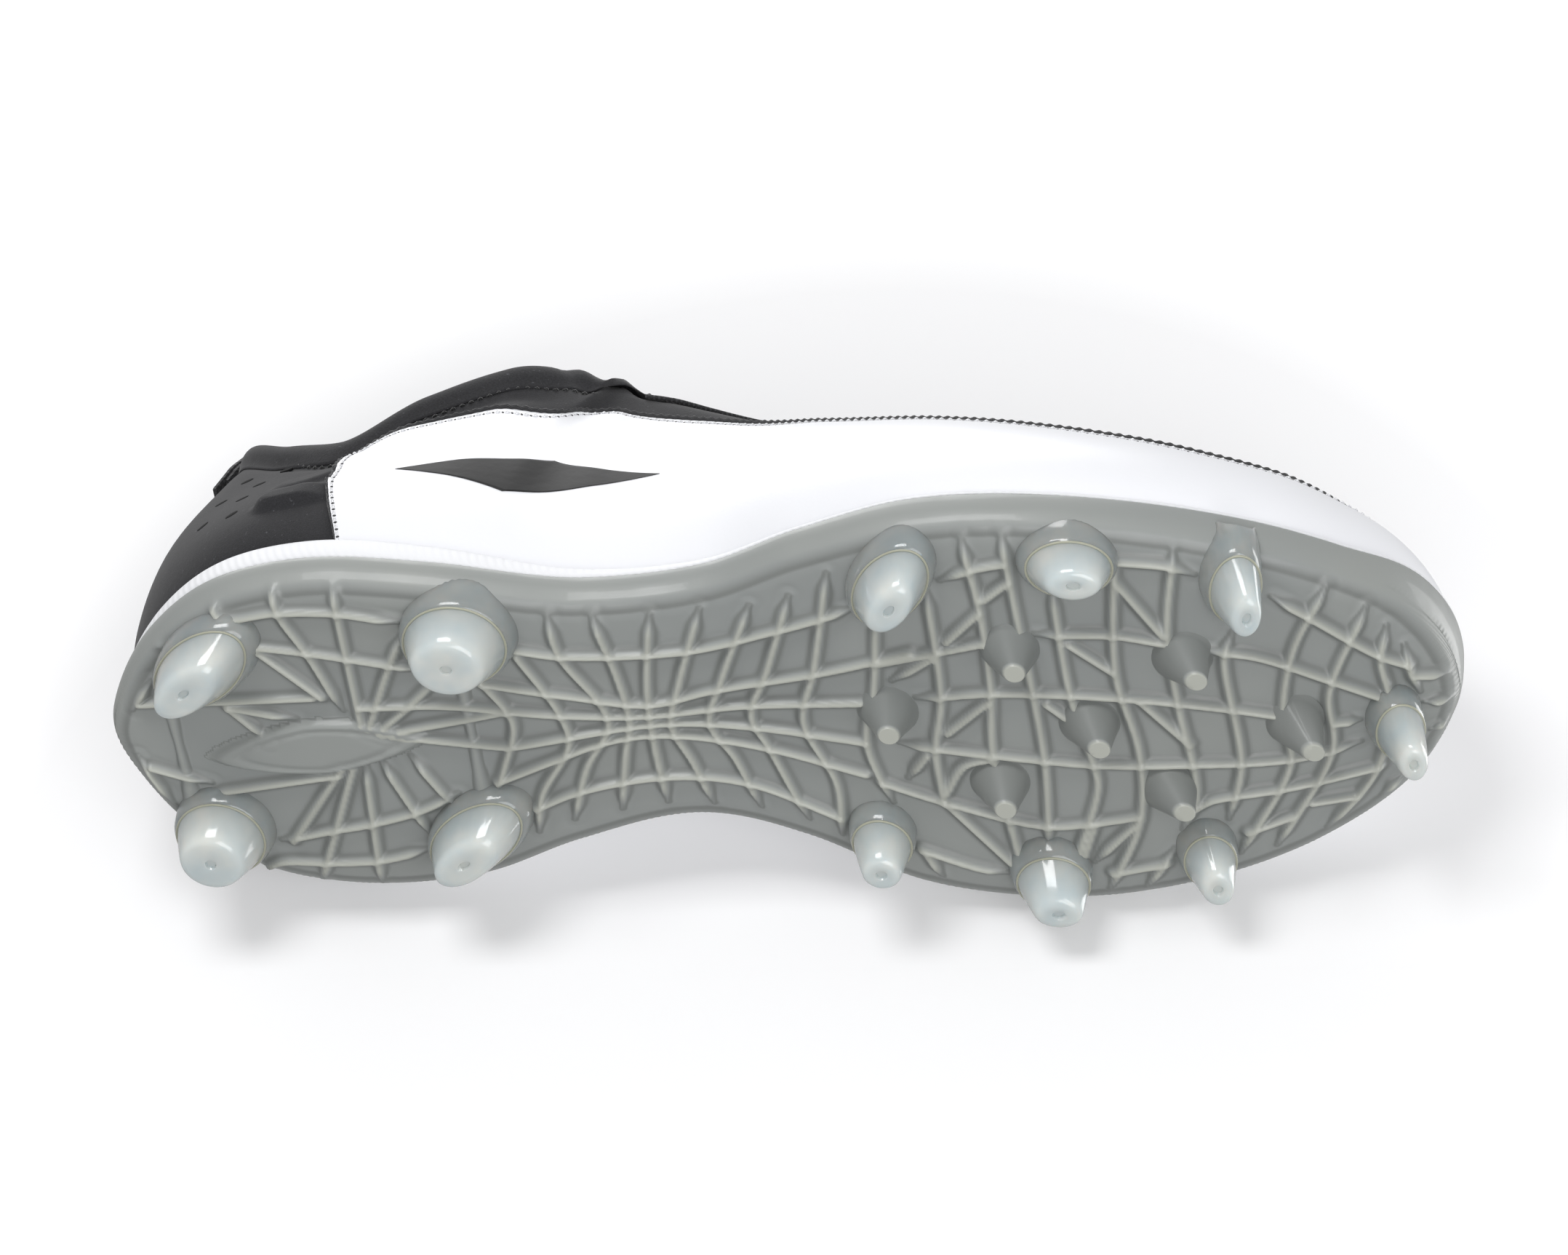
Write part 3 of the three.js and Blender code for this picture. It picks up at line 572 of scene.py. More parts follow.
def plate_look():
    """Glossy grey plastic, with painted shade at the foot of each rib and a painted highlight along its
    crest.
    """
    paint = Paint("plate_tpu", linear(140, 143, 139), 0.3, Coat_Weight=0.2, Coat_Roughness=0.08)
    mark = paint.attribute("mark", "Fac")
    cells = paint.mix(paint.noise(30, 1), linear(134, 138, 138), linear(143, 146, 143))
    # Painted shade: a darker grey in a narrow band at the foot of each rib, where the mark is low but above
    # 0.
    foot = paint.maths("MULTIPLY", paint.ramp(mark, 0.04, 0.12), paint.ramp(mark, 0.45, 0.2))
    shaded = paint.mix(foot, cells, linear(117, 120, 118))
    # Painted highlight: a pale grey along each rib's crest, where the mark nears 1.
    paint.colour(paint.mix(paint.ramp(mark, 0.45, 0.95), shaded, linear(170, 172, 164)))
    paint.set(paint.shader, {"Roughness": paint.ramp(paint.noise(6), -0.8, 2.0)})
    return paint.bump(paint.noise(1.4), 0.02).material


def stud_look():
    """Milky clear plastic, clearer at the shoulder than at the tip."""
    paint = Paint("stud_clear", linear(225, 235, 238), 0.14, IOR=1.46)
    milk = paint.attribute("mark", "Fac")
    paint.set(paint.shader, {
        "Transmission Weight": paint.ramp(milk, 1.1, -0.55),
        "Subsurface Weight": 0.6,
        "Subsurface Radius": (1.0, 1.2, 1.3),
        "Subsurface Scale": 4 * MM,
        "Coat Weight": 0.6,
        "Coat Roughness": 0.05,
    })
    haze = paint.ramp(paint.noise(9, 2), 0.3, 0.8)
    paint.colour(paint.mix(haze, linear(192, 202, 204), linear(217, 218, 212)))
    return paint.bump(paint.noise(3), 0.04).material


def seam_look():
    return Paint("stud_seam", linear(176, 176, 158), 0.3, Transmission_Weight=0.2).material


def foam_look():
    paint = Paint("midsole_foam", linear(229, 230, 233), 0.6)
    return paint.bump(paint.stripes(1.7, 1.1), 0.12, 0.7).bump(paint.noise(0.5), 0.02).material


def leather_look():
    paint = Paint("wrap_leather", linear(233, 234, 238), 0.42, Coat_Weight=0.15, Coat_Roughness=0.3)
    paint.bump(paint.noise(14, 2), 0.25, 0.6)
    return paint.bump(paint.pebbles(0.8), 0.025, 0.7).material


def knit_look(name, colour, pile=0.35):
    """Brushed stretch cloth: fine grain, soft sheen and small specks of lint."""
    paint = Paint(name, colour, 0.9, Sheen_Weight=0.12, Sheen_Roughness=0.5)
    grain = paint.noise(pile, 4)
    lint = paint.ramp(paint.noise(0.9, 5), 0.66, 0.74)
    pile_colour = paint.mix(paint.ramp(grain, 0.35, 0.75), colour, tuple(c * 2.0 + 0.003 for c in colour))
    paint.colour(paint.mix(paint.maths("MULTIPLY", lint, 0.5), pile_colour, linear(96, 97, 102)))
    return paint.bump(grain, 0.08).bump(paint.noise(5, 2), 0.15, 0.6).material


def twill_look(name, colour, pitch=0.9):
    paint = Paint(name, colour, 0.75, Sheen_Weight=0.2)
    ribs = paint.maths("MULTIPLY", paint.stripes(pitch, 0.6), paint.stripes(pitch, -0.9))
    paint.colour(paint.mix(ribs, tuple(c * 0.6 for c in colour), tuple(c * 2.6 + 0.01 for c in colour)))
    return paint.bump(ribs, 0.12).material


def braid_look(name, colour, pitch=1.3):
    paint = Paint(name, colour, 0.7, Sheen_Weight=0.3)
    braid = paint.maths("MAXIMUM", paint.stripes(pitch, 0.8), paint.stripes(pitch, -0.8))
    paint.colour(paint.mix(braid, tuple(c * 0.6 for c in colour), colour))
    return paint.bump(braid, 0.15).material


def sheet_look(name, colour, roughness, size=0.7):
    paint = Paint(name, colour, roughness)
    paint.colour(paint.mix(paint.noise(size), tuple(c * 0.85 for c in colour), colour))
    return paint.bump(paint.noise(size, 4), 0.06).material


LOOKS = {
    "plate": plate_look(),
    "stud": stud_look(),
    "seam": seam_look(),
    "foam": foam_look(),
    "leather": leather_look(),
    "bootie": knit_look("bootie_knit", linear(22, 22, 25)),
    "collar": knit_look("collar_knit", linear(21, 21, 24), 0.5),
    "tongue": knit_look("tongue_knit", linear(25, 25, 28), 0.45),
    "twill": twill_look("twill_binding", linear(30, 30, 33)),
    "webbing": twill_look("webbing", linear(27, 27, 30), 1.4),
    "lining": twill_look("lining_mesh", linear(46, 46, 50), 1.8),
    "sockliner": knit_look("sockliner_cloth", linear(58, 60, 66), 0.6),
    "board": sheet_look("lasting_board", linear(214, 210, 198), 0.85),
    "stiffener": sheet_look("stiffener_sheet", linear(196, 190, 174), 0.6),
    "padding": sheet_look("padding_foam", linear(228, 226, 220), 0.95, 1.2),
    "lace": braid_look("lace_braid", linear(238, 238, 240)),
    "thread": braid_look("thread_white", linear(244, 245, 248), 0.6),
    "dark_thread": braid_look("thread_black", linear(22, 22, 24), 0.6),
    # Painted shade: near-black for the inside of the heel's slots.
    "hole": sheet_look("dark_hole", linear(5, 5, 6), 1.0),
    "patch": sheet_look("printed_patch", linear(9, 9, 10), 0.6, 2.0),
}


# ---- Outsole plate with its web of ribs -------------------------------------------------

SOLE_STRIPS = 500       # strips from heel to toe
SOLE_ACROSS = 172       # points across each strip
SOLE_EDGE = 0.9         # inset at which the underside meets the side wall
RIB = {"height": 2.1, "half": 0.85, "steep": 2.7, "blend": 4, "taper": 5.5, "reach": 4.5,
       "tip": 0.3, "moat": 0.15, "moat_place": 2.3, "moat_half": 0.7, "join": 2.6}
WEB_PLACE = (0.3, 1.0)  # moves the whole web towards the toe and the lateral side

edge_rise = through((0, 5.5), (0.9, 3.3), (2.2, 1.3), (4.2, 0.35), (7, 0))

# The web's ribs, as runs of (s, t) points. First the ribs that cross the sole.
RIBS_ACROSS = [
    [(88, 14), (93.5, 2), (90, -10), (86.5, -18.5)],
    [(97, 20), (104, 4), (105, -5), (97, -19), (94.5, -30)],
    [(105, 30), (106.5, 19), (113.5, 5), (114.3, -1), (108, -12), (103, -27)],
    [(114.5, 29), (118, 12), (119, 0), (117, -9), (114, -25)],
    [(127, 28), (124, 8), (123.5, -5), (124.3, -24)],
    [(138, 29), (131, 9), (128, -2), (131.5, -13), (134.5, -25)],
    [(149, 30), (140.5, 10), (136.5, -2), (141, -12), (145, -26)],
    [(158, 33), (151, 13), (146, 0), (149, -9), (155.5, -29)],
    [(167, 39.5), (161.5, 14), (157.5, -1), (163, -18), (162.5, -33)],
    [(176.5, 29), (174, 8), (171, -6), (175, -23)],
    [(188, 36), (188.5, 7), (186, -8), (186.5, -22)],
    [(196.5, 49), (199, 30), (199.5, 10), (198.5, -9), (202, -40)],
    [(205, 50), (207, 25), (208.5, 7), (209.5, -12), (208.5, -35)],
    [(214.5, 36), (216.5, 7), (220, -12), (220.5, -18), (215, -37)],
    [(228, 42), (226.5, 12), (230, -9), (229, -28), (221, -48)],
    [(240.5, 44), (238, 23), (239, 4), (241.5, -22), (238, -32)],
    [(251.5, 21), (249.5, 15), (251.5, -15), (248, -30)],
    [(271.5, 29.5), (264, 15), (261, -2), (262, -16), (250, -40)],
    [(279.5, 22.5), (271, 2), (271, -14), (258, -39)],
    [(283.5, 16.5), (282, 8), (283.5, -4), (280, -22), (269, -36)],
    [(287, 10.5), (288, 4), (290, -3)],
]
# The ribs that run from the heel towards the toe.
RIBS_ALONG = [
    [(97, 21.5), (107, 19), (134, 18), (155, 24), (172, 30.5)],
    [(88, 13), (107, 8), (124, 4), (138, 7), (160, 12), (183, 19)],
    [(60, 7), (80, 7), (104, 3), (124, 1), (146, 3), (171, 5)],
    [(93, -5), (124, -1.5), (146, -3), (171, -6)],
    [(87.5, -15), (100, -10), (113, -5.5), (124, -4.5), (149, -9), (170, -15)],
    [(95, -23), (105, -19), (124, -16.5), (143, -19), (163, -28)],
    [(191, 38), (198, 41), (205, 42.5)],
    [(229, 42), (239, 40), (244.5, 37)],
    [(260, 29), (267, 23), (282, 9), (288, 5)],
    [(176, 16), (188, 19), (199, 21.5)],
    [(210, 23.5), (226, 23), (237, 20)],
    [(245, 17), (256, 14), (271, 5), (283, -3)],
    [(183, 6.5), (200, 8), (227, 6), (249, 1), (261, -3)],
    [(178, -6), (198, -9), (220, -12), (241, -13.5), (262, -15), (277, -13.5)],
    [(272, -7), (277, -7.5)],
    [(173, -17), (186, -22), (208, -29), (219, -28.5), (229, -27)],
    [(241, -26), (245, -24), (260, -23), (281, -21)],
    [(180, -36), (192, -41), (199, -43)],
    [(222, -43), (234, -41)],
    [(252, -34), (262, -31)],
    [(266, -28), (276, -28)],
]
# Short diagonal braces, spikes at the toe and fins to the studs.
RIBS_SHORT = [
    [(178, 11), (188, 18)], [(191, 22), (199, 30)], [(200, 33), (206, 38)],
    [(189, -3), (199, 6)], [(211, 5), (215, 1)], [(217, 21), (226, 13)],
    [(228, 37), (237, 22)], [(231, 5), (241, -8)], [(179, -16), (184, -9)],
    [(187, -20), (192, -12), (198, -10)], [(186.5, -22), (200, -40)],
    [(219, -29), (216, -38)], [(229, -28), (218, -40)], [(184, -44), (181, -37)],
    [(229, -48), (236, -37)], [(289, 2), (296, 0)], [(291, -6), (297, -7)],
    [(292, -14), (297, -13)], [(291, -21), (296, -18)], [(286, -25), (281, -29.5)],
]
# The heel's web: two rings of arcs on each side and the spokes that cross them.
RIBS_HEEL = [
    [(31, 39), (33, 32.5), (46, 33.5), (59.5, 33), (73, 30)],
    [(39, 24.5), (51, 22.5), (65, 19.5), (76, 17)],
    [(35, -31), (48, -28), (56, -26.5), (68, -23), (78, -18)],
    [(28, -42), (33, -37.5), (46, -37.5), (57, -37), (69, -34)],
    [(39, 24), (52, 10)], [(45.5, 41.5), (46.5, 33), (51, 22), (56, 6)],
    [(59.5, 41), (59.5, 2)], [(73, 27), (68, 17), (61, 1)], [(79, 15), (72, 8), (63, 0)],
    [(10, 9), (50, 10)], [(30, 8), (45, 4)], [(30, 8), (38, -2)],
    [(14, 25), (18, 24)], [(8, 7), (14, 15)], [(64, -0.5), (93, 5)], [(66, -1), (91, -5)],
    [(6.5, -6), (12, -20)], [(9, -9), (22, -14)], [(20, -17), (52, -12)],
    [(53, -10), (38, -31)], [(55.5, -10), (42, -44)], [(58.5, -9), (56, -44.5)],
    [(62, -8), (70, -30)], [(69, -7), (77, -22)],
]
# Smooth bars that tie each pair of heel studs: (s, lateral t, medial t).
TIE_BARS = [(17, 16, -20), (84, 22, -22)]
TIE_BAR = {"height": 1.2, "middle": 1.3, "end": 3.0}

# The plain raised plaque where the heel's spokes meet: a long rounded lozenge.
PLAQUE = {"s": 49, "t": -3, "length": 26, "width": 7.5, "turn": 6, "height": 2.1,
          "bevel": 1.1, "groove": 2.2, "groove_half": 0.45, "groove_depth": 0.5, "mark": 0.5}


def bend(points):
    """A smooth run of points through a rib's (s, t) points."""
    return smooth_run(np.array(points, float) + WEB_PLACE, 16 * (len(points) - 1) + 1)


def distance_to(run, s, t):
    """Distance from each (s, t) to a run of points, and the share along it."""
    a, d = run[:-1], np.diff(run, axis=0)
    length = np.linalg.norm(d, axis=1)
    x, y = s[:, None] - a[:, 0], t[:, None] - a[:, 1]
    along = np.clip((x * d[:, 0] + y * d[:, 1]) / length**2, 0, 1)
    apart = np.hypot(x - along * d[:, 0], y - along * d[:, 1])
    nearest = apart.argmin(1)
    rows = np.arange(len(s))
    run_so_far = np.concatenate([[0], np.cumsum(length)])
    place = run_so_far[nearest] + along[rows, nearest] * length[nearest]
    return apart[rows, nearest], place, run_so_far[-1]


def web_relief(s, t):
    """How far the ribs stand out of the sole at each point, and how deep it dips beside them."""
    total = np.zeros(s.shape)
    nearest = np.full(s.shape, 99.0)
    runs = [bend(points) for points in RIBS_ACROSS + RIBS_ALONG + RIBS_SHORT + RIBS_HEEL]
    for number, run in enumerate(runs):
        others = np.concatenate(runs[:number] + runs[number + 1:])
        low, high = run.min(0) - RIB["reach"], run.max(0) + RIB["reach"]
        close = (s > low[0]) & (s < high[0]) & (t > low[1]) & (t < high[1])
        apart, place, length = distance_to(run, s[close], t[close])
        to_end = np.full(apart.shape, 1.0)
        for tip, run_to_tip in ((run[0], place), (run[-1], length - place)):
            if np.linalg.norm(others - tip, axis=1).min() > RIB["join"]:
                to_end = np.minimum(to_end, run_to_tip / min(RIB["taper"], length / 2))
        share = lerp(RIB["tip"], 1, smoothstep(to_end, 0, 1))
        half = RIB["half"] * (1 + share) / 2
        height = RIB["height"] * share / (1 + (apart / half) ** RIB["steep"])
        total[close] += height ** RIB["blend"]
        nearest[close] = np.minimum(nearest[close], apart)
    ridge = total ** (1 / RIB["blend"])
    moat = RIB["moat"] * hump(nearest, RIB["moat_place"], RIB["moat_half"])
    moat *= np.clip(1 - ridge / RIB["height"], 0, 1)
    return ridge, moat


def tie_relief(s, t):
    relief = np.zeros(s.shape)
    for bar_s, lateral, medial in TIE_BARS:
        middle = (lateral + medial) / 2
        share = np.clip(np.abs(t - middle) / ((lateral - medial) / 2), 0, 1)
        half = lerp(TIE_BAR["middle"], TIE_BAR["end"], share**1.6)
        across = np.clip(np.abs(s - bar_s) / half, 0, 1)
        inside = (t < lateral) & (t > medial)
        relief = np.maximum(relief, np.where(inside, TIE_BAR["height"] * (1 - across**2), 0))
    return relief


def plaque_relief(s, t):
    turn = math.radians(PLAQUE["turn"])
    x = (s - PLAQUE["s"]) * math.cos(turn) + (t - PLAQUE["t"]) * math.sin(turn)
    y = (t - PLAQUE["t"]) * math.cos(turn) - (s - PLAQUE["s"]) * math.sin(turn)
    reach = (np.abs(x / PLAQUE["length"]) ** 1.5 + np.abs(y / PLAQUE["width"]) ** 1.5) ** (1 / 1.5)
    inward = (1 - reach) * PLAQUE["width"]
    groove = PLAQUE["groove_depth"] * hump(inward, PLAQUE["groove"], PLAQUE["groove_half"])
    return PLAQUE["height"] * smoothstep(inward, -0.3, PLAQUE["bevel"]) - groove


def side_stations(count):
    """Column positions 0..STATIONS at an even spacing along the lateral outline."""
    fine = np.linspace(0, STATIONS, 3001)
    run = lengths_along(outline_at(fine)[:, None], 0)[:, 0]
    return np.interp(np.linspace(0, run[-1], count + 1), run, fine)


def all_round(stations):
    """The same stations on both sides, as one closed run of column positions."""
    return np.concatenate([stations, COLUMNS - stations[-2:0:-1]])


def both_sides(steps):
    """Numbers in such a closed run of the lateral points and of the medial ones facing them."""
    lateral = np.arange(steps + 1)
    return lateral, -lateral % (2 * steps)


def distance_inside(s, t):
    """Distance of each point from the sole's outline."""
    edge = outline_at(all_round(side_stations(260)))
    nearest = np.full(s.shape, 1e9)
    for chunk in np.array_split(edge, 26):
        apart = np.hypot(s[..., None] - chunk[:, 0], t[..., None] - chunk[:, 1]).min(-1)
        nearest = np.minimum(nearest, apart)
    return nearest


# How the ribs fade towards the outline and where the rim turns pale, by millimetres inside it.
RIB_FADE = (1.2, 3.2)
PALE_RIM = (6, 1.5)
# The side wall from its foot to its top: (inset, share of its height).
WALL_FOOT = 3.3
SIDE_WALL = [(0.45, 0.14), (0.15, 0.35), (0.02, 0.6), (0, 0.86), (0.12, 0.95), (0.45, 1), (1.6, 1)]
PLATE_TOP = {"inset": 3.4, "over_floor": 2}


def build_outsole():
    round_all = all_round(side_stations(SOLE_STRIPS))
    lateral, medial = both_sides(SOLE_STRIPS)
    edge = ring(round_all, SOLE_EDGE, plate_bottom)
    across = np.linspace(0, 1, SOLE_ACROSS + 1)[None, :, None]
    under = lerp(edge[lateral][:, None], edge[medial][:, None], across)
    s, t = under[..., 0], under[..., 1]
    inside = distance_inside(s, t)
    ridge, moat = (relief.reshape(s.shape) for relief in web_relief(s.ravel(), t.ravel()))
    fade = smoothstep(inside, *RIB_FADE)
    plaque = plaque_relief(s, t)
    ridge = np.maximum(ridge, tie_relief(s, t))
    raised = np.maximum(ridge, plaque)
    under[..., 2] = plate_bottom(s) + edge_rise(inside) - (raised - moat) * fade
    # The mark follows each rib's height. The plate look turns it into painted shade at each rib's foot and a
    # painted highlight along each crest. The rim's 0.5 takes a little of that highlight, and as the mark
    # climbs to it, a few millimetres inside the edge, it passes through the painted shade.
    mark = np.where(plaque > ridge, PLAQUE["mark"], np.clip(ridge / RIB["height"], 0, 1)) * fade
    mark = np.maximum(mark, 0.5 * smoothstep(inside, *PALE_RIM))
    shape = Shape()
    grid = shape.add(under, mark)
    shape.skin(grid)
    border = np.concatenate([grid[:, 0], grid[-2:0:-1, -1]])

    def wall(share):
        return lambda x: lerp(plate_bottom(x) + WALL_FOOT, rim_top(x), share)

    rings = [ring(round_all, inset, wall(share)) for inset, share in SIDE_WALL]
    rings.append(ring(round_all, PLATE_TOP["inset"],
                      lambda x: plate_bottom(x) + PLATE_FLOOR + PLATE_TOP["over_floor"]))
    side = shape.add(np.stack(rings), 0.5)
    shape.skin(np.concatenate([border[None], side]), ring=True)
    shape.skin(np.stack([side[-1][lateral], side[-1][medial]]))
    shape.make("outsole", LOOKS["plate"], stands_for=["outsole_plate"])


# ---- Studs ------------------------------------------------------------------------------

# The seven grey studs moulded with the plate: base (s, t) and tip (s, t).
SMALL_STUDS = [
    (177, 3.5, 178, 4.5), (204.5, 20.5, 206.5, 21.5), (240.5, 16.5, 244.5, 17.5),
    (220, 0, 223, 0.5), (199.5, -16, 201.5, -16), (235.5, -19, 240, -18), (263, -4, 268, -5),
]
# Their section from the plate to the flat tip: (share of the depth, radius).
SMALL_STUD_PROFILE = [(-0.08, 7.4), (0, 6.6), (0.08, 6.2), (0.3, 5.25), (0.6, 3.9), (0.9, 2.65),
                      (0.975, 2.35), (1, 2.1), (1.001, 1.0)]
SMALL_STUD_HEIGHT = 10.2
STUD_SIDES = 56

# Base centre, base half-lengths, turn in degrees from s towards t, then tip centre, tip
# height above the ground and tip half-lengths.
CLEAR_STUDS = {
    "stud_heel_lateral_rear": (28.5, 22, 15, 9.2, 42, 25.5, 21.5, 0, 9, 4.6),
    "stud_heel_lateral_front": (85.5, 27, 12.8, 12, 0, 85, 27, 0, 7.6, 7),
    "stud_heel_medial_rear": (23, -26, 11.4, 11.4, 0, 22, -27, 0, 7, 7),
    "stud_heel_medial_front": (82, -27, 14.6, 9.2, 40, 80, -28, 0, 8.6, 4.6),
    "stud_fore_lateral_rear": (181, 40, 13, 8.2, 55, 182, 40.5, 0, 6.5, 3.8),
    "stud_fore_lateral_mid": (218.5, 43.5, 10.6, 8.6, 0, 221, 46, 0, 5.4, 3.6),
    "stud_fore_lateral_front": (252, 37, 10, 6.2, 80, 256, 35, 2, 5, 3),
    "stud_fore_medial_rear": (172, -30.5, 7.6, 8.2, 0, 173, -32, 0, 4.2, 4.2),
    "stud_fore_medial_mid": (208.5, -41, 9.2, 9, 0, 211, -44, 0, 5.2, 4),
    "stud_fore_medial_front": (243, -37, 6.6, 8.4, 0, 246, -39, 2, 3.4, 4.6),
    "stud_toe": (284.5, -7.5, 6, 8.4, 0, 289, -7.5, 5.5, 3, 4.6),
}
# How a clear stud narrows from the plate (0) to its tip (1): (depth, share of the taper).
# The shoulder swells, steps in at the parting line and runs down to a rounded tip.
SHOULDER = [(-0.12, -0.1), (0.02, -0.04), (0.12, 0.0), (0.22, 0.07), (0.3, 0.17), (0.34, 0.27)]
CONE = [(0.34, 0.33), (0.5, 0.48), (0.7, 0.68), (0.86, 0.86), (0.94, 0.97), (0.985, 1.12), (1, 1.32)]
# The seam between its mould halves, on the step at the parting line.
SEAM = {"depth": 0.338, "taper": 0.3, "radius": 0.28}
# The dimple in its tip: its size, and rings of (share of the radius, share of the depth).
DIMPLE = {"radius": 1.15, "depth": 0.7, "rings": [(1.6, 0), (1.15, 0.1), (0.9, 1), (0.26, 1)]}


def build_small_studs():
    shape = Shape()
    x, y = circle(STUD_SIDES)
    for s0, t0, s1, t1 in SMALL_STUDS:
        floor = plate_bottom(s0)
        rings = []
        for depth, radius in SMALL_STUD_PROFILE:
            s, t = lerp(s0, s1, depth), lerp(t0, t1, depth)
            flat = [s + radius * x, t + radius * y, np.full(STUD_SIDES, floor - depth * SMALL_STUD_HEIGHT)]
            rings.append(np.stack(flat, -1))
        # The plate look turns these marks into colour. 0.3 gives the stud's sides part of its painted
        # rib-foot shade, and 0.75 to 1 gives the tip its pale painted crest highlight.
        tip = np.array([0.3] * 6 + [0.75, 1, 1])
        shape.tube(np.array(rings), np.repeat(tip[:, None], STUD_SIDES, 1))
    shape.make("small_studs", LOOKS["plate"], crease=38)


def stud_ring(numbers, depth, taper, shrink=None):
    s0, t0, a0, b0, turn, s1, t1, tip_height, a1, b1 = numbers
    tilt = math.radians(turn)
    x, y = circle(STUD_SIDES)
    if shrink is None:
        x, y = x * lerp(a0, a1, taper), y * lerp(b0, b1, taper)
    else:
        x, y = x * shrink * math.sqrt(a1 / b1), y * shrink * math.sqrt(b1 / a1)
    s = lerp(s0, s1, depth) + x * math.cos(tilt) - y * math.sin(tilt)
    t = lerp(t0, t1, depth) + x * math.sin(tilt) + y * math.cos(tilt)
    base = plate_bottom(s)
    if depth < 0.2:
        base = base + np.minimum(edge_rise(distance_inside(s, t)), 4)
    return np.stack([s, t, lerp(base, tip_height, depth)], -1)


def build_clear_stud(name, numbers):
    shape = Shape()
    rings = [stud_ring(numbers, depth, taper) for depth, taper in SHOULDER + CONE]
    milk = [0.1] * len(SHOULDER) + [0.45, 0.6, 0.8, 0.95, 1, 1, 1]
    dip = DIMPLE["depth"] / (plate_bottom(numbers[0]) - numbers[7])
    for size, drop in DIMPLE["rings"]:
        rings.append(stud_ring(numbers, 1 - dip * drop, 1, DIMPLE["radius"] * size))
        milk.append(0.9)
    shape.tube(np.array(rings), np.repeat(np.array(milk)[:, None], STUD_SIDES, 1))
    shape.make("clear_" + name, LOOKS["stud"], stands_for=[name], crease=50)


def build_stud_seams():
    """The thin line where each clear stud's mould halves met, just under its shoulder."""
    shape = Shape()
    x, y = circle(8)
    for numbers in CLEAR_STUDS.values():
        line = stud_ring(numbers, SEAM["depth"], SEAM["taper"])
        out = unit(line - line.mean(0))
        round_line = out[:, None] * x[:, None] + np.array([0, 0, 1.0]) * y[:, None]
        grid = shape.add(line[:, None] + SEAM["radius"] * round_line)
        shape.skin(np.concatenate([grid, grid[:1]]), ring=True)
    shape.make("stud_seams", LOOKS["seam"])


# ---- Midsole, boards and sockliner ------------------------------------------------------

INSIDE = 6.5            # the lining stands this far in from the feather edge
ROUND_STEPS = 360


def plus(profile, extra):
    """The same function of s, with extra added."""
    return lambda s: profile(s) + extra


def build_dish(name, look, rings, stands_for, crease=None):
    """A dish made of (inset, height) rings, closed across its first and last ring."""
    round_all = all_round(side_stations(ROUND_STEPS))
    lateral, medial = both_sides(ROUND_STEPS)
    shape = Shape()
    grid = shape.add(np.stack([ring(round_all, inset, height) for inset, height in rings]))
    shape.skin(grid, ring=True)
    for end in (grid[0], grid[-1]):
        shape.skin(np.stack([end[lateral], end[medial]]))
    shape.make(name, look, stands_for=stands_for, crease=crease)


def build_midsole():
    def band(share):
        return lambda s: lerp(rim_top(s) + GAP / 2, band_top(s), share)

    build_dish("midsole_seen", LOOKS["foam"], [
        (4.2, plus(plate_bottom, PLATE_FLOOR + 2.3)), (2.3, plus(rim_top, -0.1)),
        (2.2, plus(rim_top, GAP / 2)), (0.7, plus(rim_top, GAP / 2)), (0.35, band(0.1)),
        (0.3, band(0.3)), (0.45, band(0.6)), (0.75, band(0.85)), (1.2, band(0.97)),
        (1.9, band(1)), (4.6, band(0.98)), (5.2, plus(band_top, -2.2)), (7, floor_top),
    ], ["midsole"])


def build_insole():
    def inside_by(extra):
        return plus(feather_inset, INSIDE + extra)

    def on_floor(extra):
        return plus(floor_top, extra)

    build_dish("lasting_board_seen", LOOKS["board"],
               [(inside_by(0.5), on_floor(GAP)), (inside_by(0.3), on_floor(GAP + 0.4)),
                (inside_by(0.4), on_floor(GAP + 1.3))],
               ["lasting_board"])
    cup = through((0, 7), (80, 5), (130, 2.4), (300, 1.6))

    def cup_top(share, extra):
        return lambda s: floor_top(s) + GAP + extra + cup(s) * share

    build_dish("sockliner_seen", LOOKS["sockliner"], [
        (inside_by(1.2), on_floor(GAP + 1.6)), (inside_by(0.4), on_floor(GAP + 3)),
        (inside_by(0.1), on_floor(GAP + 4.5)), (inside_by(0.1), cup_top(1, 4.2)),
        (inside_by(0.5), cup_top(1, 4.8)), (inside_by(1.3), cup_top(1, 4.5)),
        (inside_by(3.2), cup_top(0.35, 5.2)), (inside_by(7), on_floor(GAP + 4.8)),
        (inside_by(12), on_floor(GAP + 4.6)),
    ], ["sockliner"])


# ---- Bootie and collar ------------------------------------------------------------------

BOOTIE_STEPS = 300      # columns on each side
BOOTIE_ROWS = 84
BOOTIE_THICK = 1.2
UNDER_COLLAR = 0.045    # share of a column by which the bootie stops short inside the collar
CLOSED_FROM = 203       # the throat is closed from here to the toe

# The padded fold that stands proud from the front of the ankle down the throat, by s: its
# height, the share of the column its middle lies at and its half-width as a share.
fold_height = through((76, 0), (84, 0.9), (91, 3.6), (97, 7.4), (103, 7.0), (110, 4.8), (118, 3.9),
                      (131, 2.1), (146, 0.7), (160, 0))
fold_place = through((86, 0.94), (96, 0.87), (106, 0.79), (120, 0.72), (140, 0.67), (160, 0.62))
fold_half = through((90, 0.15), (100, 0.11), (120, 0.085), (160, 0.07))
# The crease between the padded collar and the fold.
CREASE = {"s": 92, "lean": 60, "half": 1.6, "depth": 0.6}
